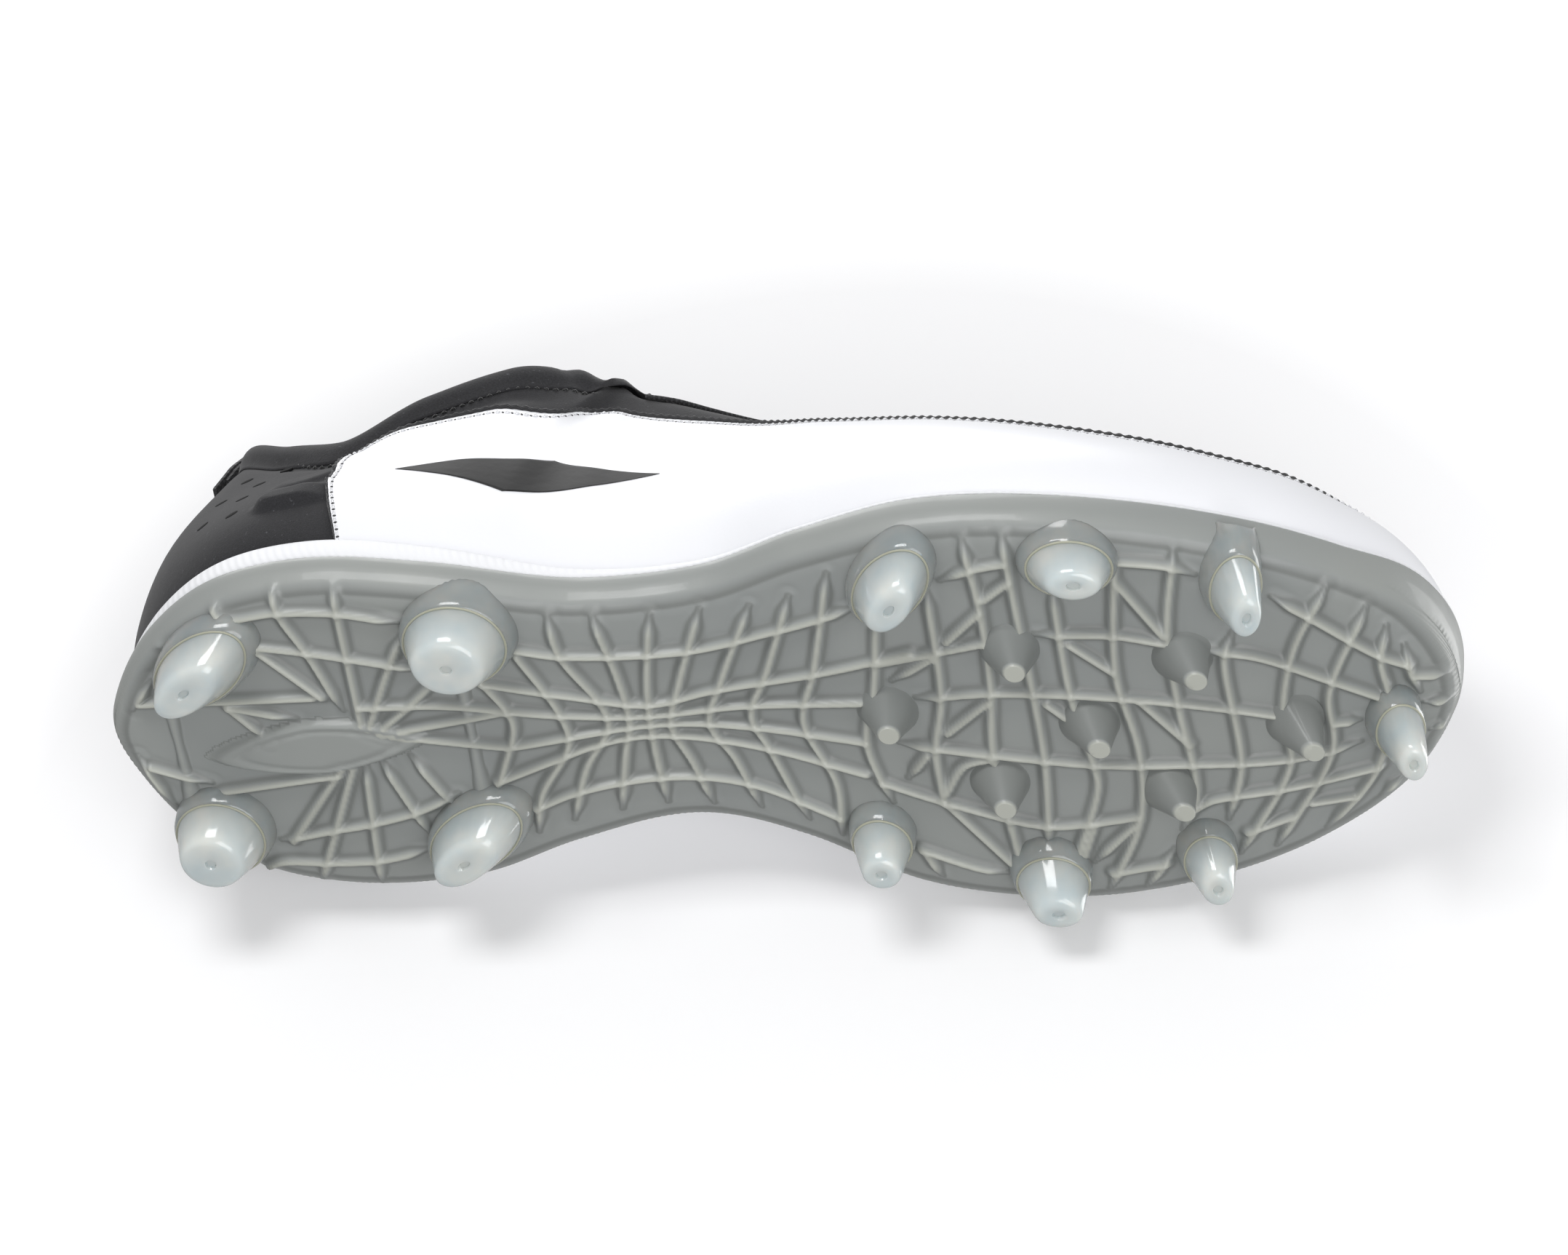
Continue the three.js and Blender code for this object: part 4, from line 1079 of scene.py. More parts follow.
# The padding that fills the hollow before the ankle, where the sides turn onto the instep.
FILL = {"s": 95, "half": 7.5, "height": 2.8,
        "share": lambda f: smoothstep(f, 0.25, 0.6) * (1 - 0.6 * smoothstep(f, 0.76, 0.9))}
# The shallow groove under the collar on both sides of the ankle.
SIDE_GROOVE = {"f": 0.86, "half": 0.035, "depth": 0.9}
# Along the throat the edges sink towards the tongue.
THROAT_DIP = 3.4
throat_share = through((103, 0), (112, 1), (190, 1), (200, 0))
# The padded pods behind the wrap: (s from, s to, f from, f to, half-height, height), in mm
# but for the shares f of the column. They fade out under the wrap's rear edge.
PODS = [(38, 60, 0.37, 0.33, 6.4, 2.5), (36, 60, 0.60, 0.60, 7.5, 1.1)]
POD_FADE = (43, 53)
PERFORATIONS = [
    (23.7, 0.83), (21.6, 0.70), (23.3, 0.55), (26.8, 0.37),
    (16.2, 0.745), (16.6, 0.575), (18.8, 0.38),
]
PERFORATION = {"half_length": 1.5, "half_width": 0.95, "slant": 32,
               "rings": [(1.08, -0.5), (1.08, 0.04), (1.0, 0.08), (0.3, 0.08)]}
COLUMN_LENGTH = 80      # a heel column's usual length, to turn shares into millimetres


def column_of(s):
    """The lateral column position whose pair lies at s."""
    fine = np.linspace(0, STATIONS, 1501)
    return np.interp(s, pair_s(fine), fine)


def reach_at(i):
    return side_reach(pair_s(i))


def bootie_relief(i, f):
    """How far the bootie stands out of its plain surface, in millimetres."""
    s = pair_s(i)
    relief = fold_height(s) * hump(f, fold_place(s), fold_half(s))
    crease_s = CREASE["s"] + CREASE["lean"] * (0.9 - f)
    crease = hump(s, crease_s, CREASE["half"]) * smoothstep(f, 0.76, 0.84)
    fill = hump(s, FILL["s"], FILL["half"]) * FILL["share"](f)
    relief = relief - CREASE["depth"] * crease + FILL["height"] * fill
    relief = relief - THROAT_DIP * throat_share(s) * smoothstep(f, 0.735, 0.8)
    for s0, s1, f0, f1, half, height in PODS:
        share = np.clip((s - s0) / (s1 - s0), 0, 1)
        across = (f - lerp(f0, f1, share)) * COLUMN_LENGTH
        past_end = np.maximum(s0 - s, 0) + np.maximum(s - s1, 0)
        pod = height * smoothstep(half - np.hypot(across, past_end), 0, 0.55 * half)
        relief = relief + pod * (1 - smoothstep(s, *POD_FADE))
    sides = smoothstep(s, 4, 14) * (1 - smoothstep(s, 78, 90))
    return relief - SIDE_GROOVE["depth"] * hump(f, SIDE_GROOVE["f"], SIDE_GROOVE["half"]) * sides


def over_bootie(i, f, offset):
    """Points on the bootie's padded face, moved out by offset."""
    return upper(i, f, offset + bootie_relief(i, f))


def sunk_at(s):
    """How far the collar's roll lies below the topline, in millimetres."""
    crest = hump(s, CREST["s"], CREST["half"])
    return HEEL_SINK * (1 - smoothstep(s, 10, 34)) + CREST["sink"] * crest


def build_shell(name, look, node, slot, stations, f, outer, inner):
    """A layer all round the shoe, up to the topline and the throat's edge, closed before them."""
    shape = Shape()
    grids = [shape.add(upper(stations[:, None], f, offset)) for offset in (outer, inner)]
    for grid in grids:
        shape.skin(grid.T, ring=True)
    shape.skin(np.stack([grid[:, 0] for grid in grids]), ring=True)
    lip = np.stack([np.append(grid[:, -1], grid[0, -1]) for grid in grids])
    closed = pair_s(np.append(stations, stations[0])) > CLOSED_FROM
    shape.skin(lip, keep=np.s_[0, ~(closed[:-1] & closed[1:])])
    shape.make(name, LOOKS[look], stands_for=[node])


def build_bootie():
    stations = all_round(side_stations(BOOTIE_STEPS))
    s = pair_s(stations)[:, None]
    short = UNDER_COLLAR * (1 - smoothstep(s, 96, 104)) + sunk_at(s) / COLUMN_LENGTH
    f = np.linspace(0, 1, BOOTIE_ROWS + 1) * (reach_at(stations)[:, None] - short)
    relief = bootie_relief(stations[:, None], f)
    build_shell("bootie_seen", "bootie", "bootie", "bootie_knit", stations, f,
                relief, np.minimum(relief, 0) - BOOTIE_THICK)


def build_perforations():
    """Slots let into the back of the heel on both sides, drawn as near-black ovals of painted shade."""
    shape = Shape()
    slant = math.radians(PERFORATION["slant"])
    x, y = circle(14)
    for (s, f), side in itertools.product(PERFORATIONS, (1, -1)):
        spot, normal = face_line(lambda lift: upper(column_of(s) * side, f, lift))
        forward = turned(unit(np.cross(normal, (0, 0, 1.0))), (1, 0, 0))
        up = turned(np.cross(normal, forward), (0, 0, 1))
        long_way = forward * math.cos(slant) + up * math.sin(slant)
        short_way = up * math.cos(slant) - forward * math.sin(slant)
        oval = (long_way * x[:, None] * PERFORATION["half_length"]
                + short_way * y[:, None] * PERFORATION["half_width"])
        shape.tube(np.array([spot + oval * size + normal * lift for size, lift in PERFORATION["rings"]]))
    shape.make("perforations", LOOKS["hole"])


# The collar's section: millimetres below the topline and out from the bootie, first round
# the padded ankle, then along the thin throat edge. OUTSIDE is its face, INSIDE its back.
COLLAR_OUTSIDE = [(8, 0.3), (6, 0.8), (3.5, 1.7), (1.4, 2.0), (-0.6, 1.7), (-2.2, 0.4), (-3, -1.5),
                  (-3, -3.6), (-2, -5.8), (0.5, -7.3), (4, -7.9), (9, -7.7), (15, -7.1), (18, -6.5)]
COLLAR_INSIDE = [(8, 0.12), (6, 0.3), (3.5, 0.8), (1.4, 1.1), (-0.2, 0.8), (-1.3, -0.2), (-1.8, -1.7),
                 (-1.8, -3.4), (-1.2, -4.9), (0.5, -6.2), (4, -6.9), (9, -6.9), (15, -6.6), (18, -6.2)]
THROAT_OUTSIDE = [(3.4, 1.6), (3, 1.9), (2.2, 2.05), (1.4, 2.05), (0.4, 2.0), (-0.5, 1.6), (-1, 0.9),
                  (-1.1, 0), (-1, -0.8), (-0.6, -1.5), (0.2, -1.9), (1.4, -2.0), (2.6, -1.9), (3.4, -1.7)]
THROAT_INSIDE = [(3.4, 1.45), (3, 1.6), (2.2, 1.7), (1.4, 1.7), (0.5, 1.65), (-0.2, 1.3), (-0.6, 0.8),
                 (-0.7, 0), (-0.6, -0.7), (-0.3, -1.2), (0.3, -1.5), (1.4, -1.6), (2.6, -1.55), (3.4, -1.5)]
HEEL_SINK = 6.0         # how much lower the collar's roll lies on the topline at the heel
CREST = {"s": 77, "half": 10, "sink": 1.5}      # and how much lower at the ankle's crest
COLLAR_STEPS = 420
COLLAR_END = 200
COLLAR_SEAM = {"until": 98, "below": 9.0, "out": 0.15, "pitch": 2.3}


def below_topline(i, below, out):
    """A point below the topline or throat edge by some millimetres, out along the normal."""
    reach = reach_at(i)
    edge = upper(i, reach)
    under = upper(i, reach - 0.04)
    length = np.linalg.norm(edge - under, axis=-1) / 0.04
    rise = unit(edge - under)
    f = reach - np.maximum(below, 0) / length
    above = np.maximum(-below, 0)
    relief = bootie_relief(i, f) * smoothstep(out, -7, -1)
    return upper(i, f, out + relief) + rise * above[..., None]


def collar_grid(i, ankle, throat, steps=30):
    """The collar's section at column positions i, from its ankle and throat shapes."""
    s = pair_s(i)
    share = smoothstep(s, 88, 106)[:, None, None]
    section = lerp(smooth_run(ankle, steps), smooth_run(throat, steps), share)
    tall = np.broadcast_to(i[:, None], section.shape[:2])
    return below_topline(tall, section[..., 0] + sunk_at(s)[:, None], section[..., 1])


def build_collar():
    end = column_of(COLLAR_END)
    fine = np.linspace(-end, end, 4001)
    line = upper(np.mod(fine, COLUMNS), reach_at(np.mod(fine, COLUMNS)))
    run = lengths_along(line[:, None], 0)[:, 0]
    i = np.mod(np.interp(np.linspace(0, run[-1], COLLAR_STEPS + 1), run, fine), COLUMNS)
    shape = Shape()
    shape.sheet(collar_grid(i, COLLAR_OUTSIDE, THROAT_OUTSIDE),
                collar_grid(i, COLLAR_INSIDE, THROAT_INSIDE))
    shape.make("collar", LOOKS["collar"])
    ankle = i[pair_s(i) < COLLAR_SEAM["until"]]
    ankle = ankle[np.argsort((ankle + STATIONS) % COLUMNS)]
    below = np.full(len(ankle), COLLAR_SEAM["below"])
    seam = Shape()
    stitch_row(seam, *face_line(lambda lift: below_topline(ankle, below, COLLAR_SEAM["out"] + lift)),
               COLLAR_SEAM["pitch"])
    seam.make("collar_stitching", LOOKS["dark_thread"])


# ---- Wrap, its edge binding and stitching -----------------------------------------------

WRAP = {"outer": 1.45, "inner": 0.3, "round": 0.012, "thin": 0.25, "columns": 560, "rows": 22,
        "fan": 1.35, "scallop": 0.32, "scallop_pitch": 2.2, "stitch_in": 3.1, "stitch_pitch": 2.2}
BINDING = {"rear": 2.6, "top": 1.5, "rises": 1.35, "outer": 0.6, "inner": 0.1, "tooth": 0.16,
           "under": 0.5, "steps": 9, "columns": 900}
NEEDLE_HOLE = {"along": 0.3, "across": 0.42, "back": 0.22, "rings": [(1, -0.3), (1, 0.04), (0.5, 0.06)]}

# The wrap's upper edge from its rear lower corner to the toe: (s, share of the column). The
# last point lies on the toe's centre line.
WRAP_EDGE = [
    (58.5, 0), (56.5, 0.09), (53.8, 0.19), (51.2, 0.29), (48.6, 0.4), (46.6, 0.53), (45.3, 0.66),
    (46.0, 0.76), (49, 0.81), (54.5, 0.815), (62, 0.79), (71, 0.766), (80, 0.762), (88, 0.757),
    (93, 0.728), (98, 0.685), (103, 0.648), (110, 0.626), (118, 0.612), (128, 0.6), (142, 0.583),
    (160, 0.533), (180, 0.475), (200, 0.437), (220, 0.415), (240, 0.408), (258, 0.415),
    (272, 0.45), (284, 0.51), (293, 0.55), (298, 0.563),
]
TOE_EDGE = 0.565

edge_points = [(float(column_of(s)), f) for s, f in WRAP_EDGE] + [(STATIONS, TOE_EDGE)]
edge_table = smooth_run(edge_points, 2401)
edge_line = upper(edge_table[:, 0], edge_table[:, 1])
edge_run = lengths_along(edge_line[:, None], 0)[:, 0]
EDGE_LENGTH = edge_run[-1]


def wrap_place(u, v):
    """Column position and share on the wrap: u runs along its edge from the lateral rear
    corner round the toe to the medial one, v from the feather edge to the upper edge."""
    half = 1 - np.abs(2 * u - 1)
    run = half * EDGE_LENGTH
    edge_i = np.interp(run, edge_run, edge_table[:, 0])
    edge_f = np.interp(run, edge_run, edge_table[:, 1])
    low = lerp(edge_table[0, 0], STATIONS, half ** WRAP["fan"])
    i = lerp(low, edge_i, v)
    return np.where(u > 0.5, COLUMNS - i, i), edge_f * v


def wrap_depth(u):
    """Length in millimetres of the wrap's fan line at u."""
    v = np.linspace(0, 1, 9)
    i, f = wrap_place(u[:, None], v[None])
    return np.maximum(lengths_along(upper(i, f), 1)[:, -1], 4.0)


def wrap_grid(u, v, offset):
    """Points of the wrap at u and v grids of the same shape."""
    i, f = wrap_place(u, v)
    return upper(i, f, np.asarray(offset) + np.maximum(bootie_relief(i, f), 0))


def build_wrap():
    u = np.linspace(0, 1, 2 * WRAP["columns"] + 1)
    v = np.concatenate([np.linspace(0, 0.96, WRAP["rows"]), [0.975, 0.986, 0.993, 0.998, 1]])
    depth = wrap_depth(u)
    run = np.abs(2 * u - 1) * EDGE_LENGTH
    scallop = WRAP["scallop"] * np.abs(np.sin(math.pi * run / WRAP["scallop_pitch"]))
    notch = (WRAP["scallop"] - scallop) / depth
    tall_u, tall_v = np.broadcast_arrays(u[:, None], v[None])
    tall_v = tall_v - notch[:, None] * smoothstep(tall_v, 0.9, 1)
    thick = np.maximum(rounded(0.5 + 0.5 * v, WRAP["round"]), WRAP["thin"])
    middle = (WRAP["outer"] + WRAP["inner"]) / 2
    half = (WRAP["outer"] - WRAP["inner"]) / 2 * thick
    shape = Shape()
    shape.sheet(wrap_grid(tall_u, tall_v, middle + half), wrap_grid(tall_u, tall_v, middle - half))
    return shape.make("wrap_seen", LOOKS["leather"], stands_for=["wrap"])


def build_wrap_edges():
    u = np.linspace(0.0005, 0.9995, 2 * BINDING["columns"] + 1)
    rear = 1 - smoothstep((1 - np.abs(2 * u - 1)) * EDGE_LENGTH, 50, 75)
    rear = rear[:, None]
    outward = lerp(BINDING["top"], BINDING["rear"], rear)
    across = np.linspace(0, 1, BINDING["steps"])
    tall_v = 1 + lerp(-BINDING["under"], outward, across) / wrap_depth(u)[:, None]
    tall_u = np.broadcast_to(u[:, None], tall_v.shape)
    tooth = BINDING["tooth"] * np.sin(u * EDGE_LENGTH * 4 * math.pi / WRAP["scallop_pitch"])[:, None]
    rises = lerp(BINDING["rises"], 0.6 * BINDING["rises"], rear)
    top = BINDING["outer"] + (rises + tooth) * np.abs(np.sin(across * math.pi)) ** 0.6
    shape = Shape()
    shape.sheet(wrap_grid(tall_u, tall_v, top), wrap_grid(tall_u, tall_v, BINDING["inner"]))
    shape.make("wrap_edge_binding", LOOKS["twill"],
               stands_for=["wrap_binding_lateral", "wrap_binding_medial"])

    u = np.linspace(0.004, 0.996, 1200)
    v = 1 - WRAP["stitch_in"] / wrap_depth(u)
    line, normals = face_line(lambda lift: wrap_grid(u, v, WRAP["outer"] + lift))
    stitches = Shape()
    stitch_row(stitches, line, normals, WRAP["stitch_pitch"])
    stitches.make("wrap_stitching", LOOKS["thread"])
    # Painted shade: a small dark oval at the back end of each stitch stands for its needle hole.
    holes = Shape()
    x, y = circle(8)
    spots = resample(line, WRAP["stitch_pitch"])
    along = unit(np.gradient(spots, axis=0))
    back = spots - along * NEEDLE_HOLE["back"]
    for spot, normal, way in zip(back, spread(normals, len(spots)), along):
        side = np.cross(normal, way)
        oval = way * x[:, None] * NEEDLE_HOLE["along"] + side * y[:, None] * NEEDLE_HOLE["across"]
        holes.tube(np.array([spot + oval * size + normal * lift for size, lift in NEEDLE_HOLE["rings"]]))
    holes.make("needle_holes", LOOKS["dark_thread"])


PATCH = {"middle": 95, "low": 57, "rise": 3, "length": 58, "half": 8.5,
         "lift": 0.03, "thick": 0.12, "points": (121, 21)}


def build_side_patches(wrap):
    """A plain printed lozenge on each side of the wrap, laid onto its face."""
    mesh = wrap.data
    tree = BVHTree.FromPolygons([v.co for v in mesh.vertices], [p.vertices for p in mesh.polygons])
    along, across = (np.linspace(-1, 1, count) for count in PATCH["points"])
    along = along[:, None]
    half = PATCH["half"] * (1 - np.abs(along) ** 0.9) + 0.01
    s = PATCH["middle"] + along * PATCH["length"] / 2 + across * half * 0.5
    h = PATCH["low"] + along * PATCH["rise"] + across * half
    for side, name in SIDES:
        starts = to_frame(np.stack([s, np.full(s.shape, side * 90.0), h], -1)).reshape(-1, 3)
        way = turn_to_frame((0, -side, 0))
        hits = np.array([tree.ray_cast(Vector(start), way)[:2] for start in starts])
        outer, inner = (to_last(hits[:, 0] + hits[:, 1] * lift * MM).reshape(s.shape + (3,))
                        for lift in (PATCH["lift"] + PATCH["thick"], PATCH["lift"]))
        shape = Shape()
        shape.sheet(outer, inner)
        shape.make(f"patch_{name}", LOOKS["patch"])


# ---- Layers inside the upper ------------------------------------------------------------

# Each layer's outer and inner face, in millimetres from the bootie's plain surface.
STIFFENER_LAYER = (-1.6, -2.9)
FOAM_LAYER = (-1.7, -4.3)
LINING = {"layer": (-4.9, -5.9), "from": 0.03, "short": 0.006, "steps": 240, "rows": 40}


def build_patch(name, look, node, ends, rows, layer, count=60):
    """A closed layer over column positions ends and curve shares rows, both (from, to)."""
    i = np.linspace(*ends, count)
    low, high = (row(i) if callable(row) else np.full(count, row) for row in rows)
    f = lerp(low[:, None], high[:, None], np.linspace(0, 1, 28)[None])
    shape = Shape()
    i = np.mod(i, COLUMNS)[:, None]
    shape.sheet(*(upper(i, f, offset) for offset in layer))
    shape.make(name, LOOKS[look], stands_for=[node])


def topline_less(share):
    def row(i):
        i = np.mod(i, COLUMNS)
        return reach_at(i) - share - sunk_at(pair_s(i)) / COLUMN_LENGTH

    return row


def build_layers():
    counter = column_of(80)
    build_patch("heel_counter_seen", "stiffener", "heel_counter",
                (-counter, counter), (0.06, 0.44), STIFFENER_LAYER, 120)
    puff = column_of(262)
    build_patch("toe_puff_seen", "stiffener", "toe_puff",
                (puff, COLUMNS - puff), (0.1, 0.6), STIFFENER_LAYER)
    foam = (1.2, float(column_of(84)))
    for side, name in SIDES:
        ends = tuple(side * end for end in foam)
        build_patch(f"collar_foam_{name}_seen", "padding", f"collar_foam_{name}",
                    ends, (0.62, topline_less(0.03)), FOAM_LAYER)
    stations = all_round(side_stations(LINING["steps"]))
    s = pair_s(stations)[:, None]
    short = LINING["short"] * (s < CLOSED_FROM) + sunk_at(s) / COLUMN_LENGTH
    f = np.linspace(LINING["from"], 1, LINING["rows"]) * (reach_at(stations)[:, None] - short)
    build_shell("lining_seen", "lining", "lining", "lining_mesh", stations, f, *LINING["layer"])



# ---- Eyestays, tongue, lace and pull tab ------------------------------------------------

EYESTAY = {"from": 109, "to": 192, "low": 0.735, "inner": 0.35, "outer": 1.4, "round": 0.08,
           "stitch_in": 0.018, "stitch_pitch": 2.3}


def build_eyestays():
    stitches = Shape()
    v = edge_shares(10, EYESTAY["round"])
    thick = rounded(v, EYESTAY["round"]) * (EYESTAY["outer"] - EYESTAY["inner"]) / 2
    middle = (EYESTAY["outer"] + EYESTAY["inner"]) / 2
    seam_f = EYESTAY["low"] + EYESTAY["stitch_in"]
    for side, name in SIDES:
        i = np.linspace(column_of(EYESTAY["from"]), column_of(EYESTAY["to"]), 220)
        i = i if side > 0 else COLUMNS - i
        f = lerp(EYESTAY["low"], reach_at(i)[:, None], v)
        shape = Shape()
        shape.sheet(*(over_bootie(i[:, None], f, offset) for offset in (middle + thick, middle - thick)))
        shape.make(f"eyestay_{name}_seen", LOOKS["twill"], stands_for=[f"eyestay_{name}"])
        line, normals = face_line(lambda lift: over_bootie(i, seam_f, EYESTAY["outer"] + lift))
        stitch_row(stitches, line, normals, EYESTAY["stitch_pitch"])
    stitches.make("eyestay_stitching", LOOKS["dark_thread"])


TONGUE = {"top": 105, "toe": 195, "reach": 0.7, "face": -6.6, "thick": 3.4, "lean": 38,
          "down": 150, "across": 41, "bend_from": -7, "bend_to": 9}
# The free top's rows: distance past the throat, half-width and how far its sides drop.
FLAP_ROWS = [(3, 10.4, 2.4), (9, 12, 3), (15, 15, 4.4), (22, 17.5, 6), (26, 15.5, 5.2), (27.5, 11, 3)]
# Grooves across the padding, by the millimetres along a tongue of about this length.
GROOVE = {"length": 120, "from": 92, "to": 112, "pitch": 9, "half": 0.7, "depth": 0.35}


def ridge_point(s, offset):
    """A point over the centre ridge at the column pair s."""
    top = on_curve(columns(column_of(s)), np.array(1.0))
    slope = (ridge_height(top[0] + 1) - ridge_height(top[0] - 1)) / 2
    return top + unit(np.array([-slope, 0, 1])) * offset


def flap_ways():
    """The directions along the tongue's free top and square to its face."""
    lean = math.radians(TONGUE["lean"])
    way = np.array([-math.cos(lean), 0, math.sin(lean)])
    forward = np.array([math.sin(lean), 0, math.cos(lean)])
    return way, forward


def tongue_rows():
    """Rows of points across the tongue, from its toe end to its free top."""
    rows = []
    f = np.linspace(TONGUE["reach"], 1, 6)
    for s in np.linspace(TONGUE["toe"], TONGUE["top"], 12):
        i = column_of(s)
        lateral = upper(i, f, TONGUE["face"])
        medial = upper(COLUMNS - i, f[::-1], TONGUE["face"])
        rows.append(np.concatenate([lateral, medial[1:]]))
    way, forward = flap_ways()
    base = ridge_point(TONGUE["top"], TONGUE["face"])
    r = np.linspace(1, -1, 11)[:, None]
    for step, half, drop in FLAP_ROWS:
        rows.append(base + way * step - forward * drop * r**2 + np.array([0, 1, 0]) * half * r)
    return np.array(rows)


def build_tongue():
    rows = tongue_rows()
    down = np.stack([smooth_run(rows[:, k], TONGUE["down"]) for k in range(rows.shape[1])], 1)
    grid = np.stack([smooth_run(line, TONGUE["across"]) for line in down])
    normal = unit(np.cross(np.gradient(grid, axis=0), np.gradient(grid, axis=1)))
    normal = normal * np.where(normal[..., 2:] < 0, -1, 1)
    shares = np.linspace(0, 1, TONGUE["down"])[:, None]
    edge_across = rounded(np.linspace(0, 1, TONGUE["across"]), 0.1)
    edge = np.minimum(edge_across, rounded(shares, 0.02))
    run = shares * GROOVE["length"]
    past = (run - GROOVE["from"]) % GROOVE["pitch"] - GROOVE["pitch"] / 2
    groove = GROOVE["depth"] * hump(past, 0, GROOVE["half"])
    groove = groove * (run > GROOVE["from"]) * (run < GROOVE["to"]) * edge_across
    half = TONGUE["thick"] / 2
    centre = grid - normal * half
    shape = Shape()
    shape.sheet(centre + normal * (half * edge - groove)[..., None],
                centre - normal * (half * edge)[..., None])
    tongue = shape.make("tongue_seen", LOOKS["tongue"], body=None,
                        stands_for=["tongue", "tongue_top"])
    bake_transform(tongue)


LACE = {"half_width": 1.75, "half_height": 0.8, "rows": 5, "first": 119, "last": 187,
        "lift": 2.6, "under": 0.3, "over": 2.9, "in_loop": 4.6, "bar": 5}
LOOP = {"length": 5.4, "thick": 0.8, "radius": 2.1, "turn": 0.62, "lean": 0.35}
# The webbing's path before and after its bow round the lace: (out from the throat edge, up).
LOOP_UNDER = [(6.2, -1.9), (3.5, -2.1)]
LOOP_OVER = [(3.6, 0.7), (6.2, -0.8)]
# The webbing's section, as shares of its half-length and half-thickness.
LOOP_SECTION = np.array([[-1, -1], [-0.97, -0.2], [-1, 1], [1, 1], [0.97, 0.2], [1, -1]])


def throat_line(side):
    """The throat edge, lifted off the bootie, as many points from the ankle to the toe."""
    i = np.linspace(column_of(100), column_of(205), 500)
    i = i if side > 0 else COLUMNS - i
    return over_bootie(i, reach_at(i), LACE["lift"])


def throat_edge(s, side):
    line = throat_line(side)
    line = line[np.argsort(line[:, 0])]
    return np.stack([np.interp(s, line[:, 0], line[:, k]) for k in range(3)], -1)


def lace_row(row):
    return lerp(LACE["first"], LACE["last"], row / (LACE["rows"] - 1))


def loop_way(row, side):
    s = lace_row(row)
    return unit(throat_edge(s + 4, side) - throat_edge(s - 4, side))


def build_loops():
    turn = np.linspace(-LOOP["turn"], LOOP["turn"], 17) * math.pi
    bow = [(-math.cos(a) * LOOP["radius"], math.sin(a) * LOOP["radius"]) for a in turn]
    profile = LOOP_UNDER + bow + LOOP_OVER
    for row in range(LACE["rows"]):
        for side, name in SIDES:
            centre = throat_edge(lace_row(row), side)
            along = loop_way(row, side)
            out = turned(unit(np.cross(along, (0, side * LOOP["lean"], 1.0))), (0, side, 0))
            up = turned(unit(np.cross(out, along)), (0, 0, 1))
            path = smooth_run([centre + out * x + up * y for x, y in profile], 60)
            face = unit(np.cross(along, np.gradient(path, axis=0))) * LOOP["thick"] / 2
            wide = LOOP_SECTION[:, :1] * along * LOOP["length"] / 2
            shape = Shape()
            shape.tube(path[:, None] + wide + LOOP_SECTION[:, 1:] * face[:, None])
            node = f"lace_loop_{name}_{row + 1}"
            shape.make(node + "_seen", LOOKS["webbing"], stands_for=[node], crease=40)


def build_lace():
    def in_loop(row, side, way):
        centre = throat_edge(lace_row(row), side)
        along = loop_way(row, side) * way * LACE["in_loop"]
        return [centre - along, centre, centre + along]

    def crossing(row, lift):
        corners = [throat_edge(lace_row(r), side) for r in (row, row + 1) for side in (1, -1)]
        return np.mean(corners, 0) + np.array([0, 0, lift])

    def strand(side):
        lift = LACE["over"] if side > 0 else -LACE["under"]
        points = []
        for row in reversed(range(LACE["rows"])):
            points += in_loop(row, side, -1)
            if row:
                points.append(crossing(row - 1, lift))
            side = -side
        return points

    lateral, medial = strand(1), strand(-1)
    bar = (lateral[0] + medial[0]) / 2 + np.array([LACE["bar"], 0, 0])
    path = smooth_run(lateral[::-1] + [bar] + medial, 700)
    shape = Shape()
    shape.tube(swept(path, (0.3, 0, 1.0), LACE["half_width"], LACE["half_height"], 12))
    shape.make("lace_seen", LOOKS["lace"], stands_for=["lace"])


TAB = {"low": 0.83, "high": 0.95, "rise": 4, "lean": 1.2, "front": 2.3, "back": 0.9, "bend": 0.75,
       "bow": 0.9, "half": 7.5, "narrow": 0.78, "taper": 9, "thick": 1.0,
       "bend_from": (0, 0, -3.5), "bend_to": (0, 0, 1)}
# The tab's section, as shares of its half-width and half-thickness.
TAB_SECTION = np.array([[-1, -0.6], [-1, 0.6], [-0.93, 1], [0.93, 1],
                        [1, 0.6], [1, -0.6], [0.93, -1], [-0.93, -1]])
TAB_BOX = {"low": TAB["low"] + 0.02, "high": TAB["high"] - 0.015, "half": 5.8, "pitch": 2.2}


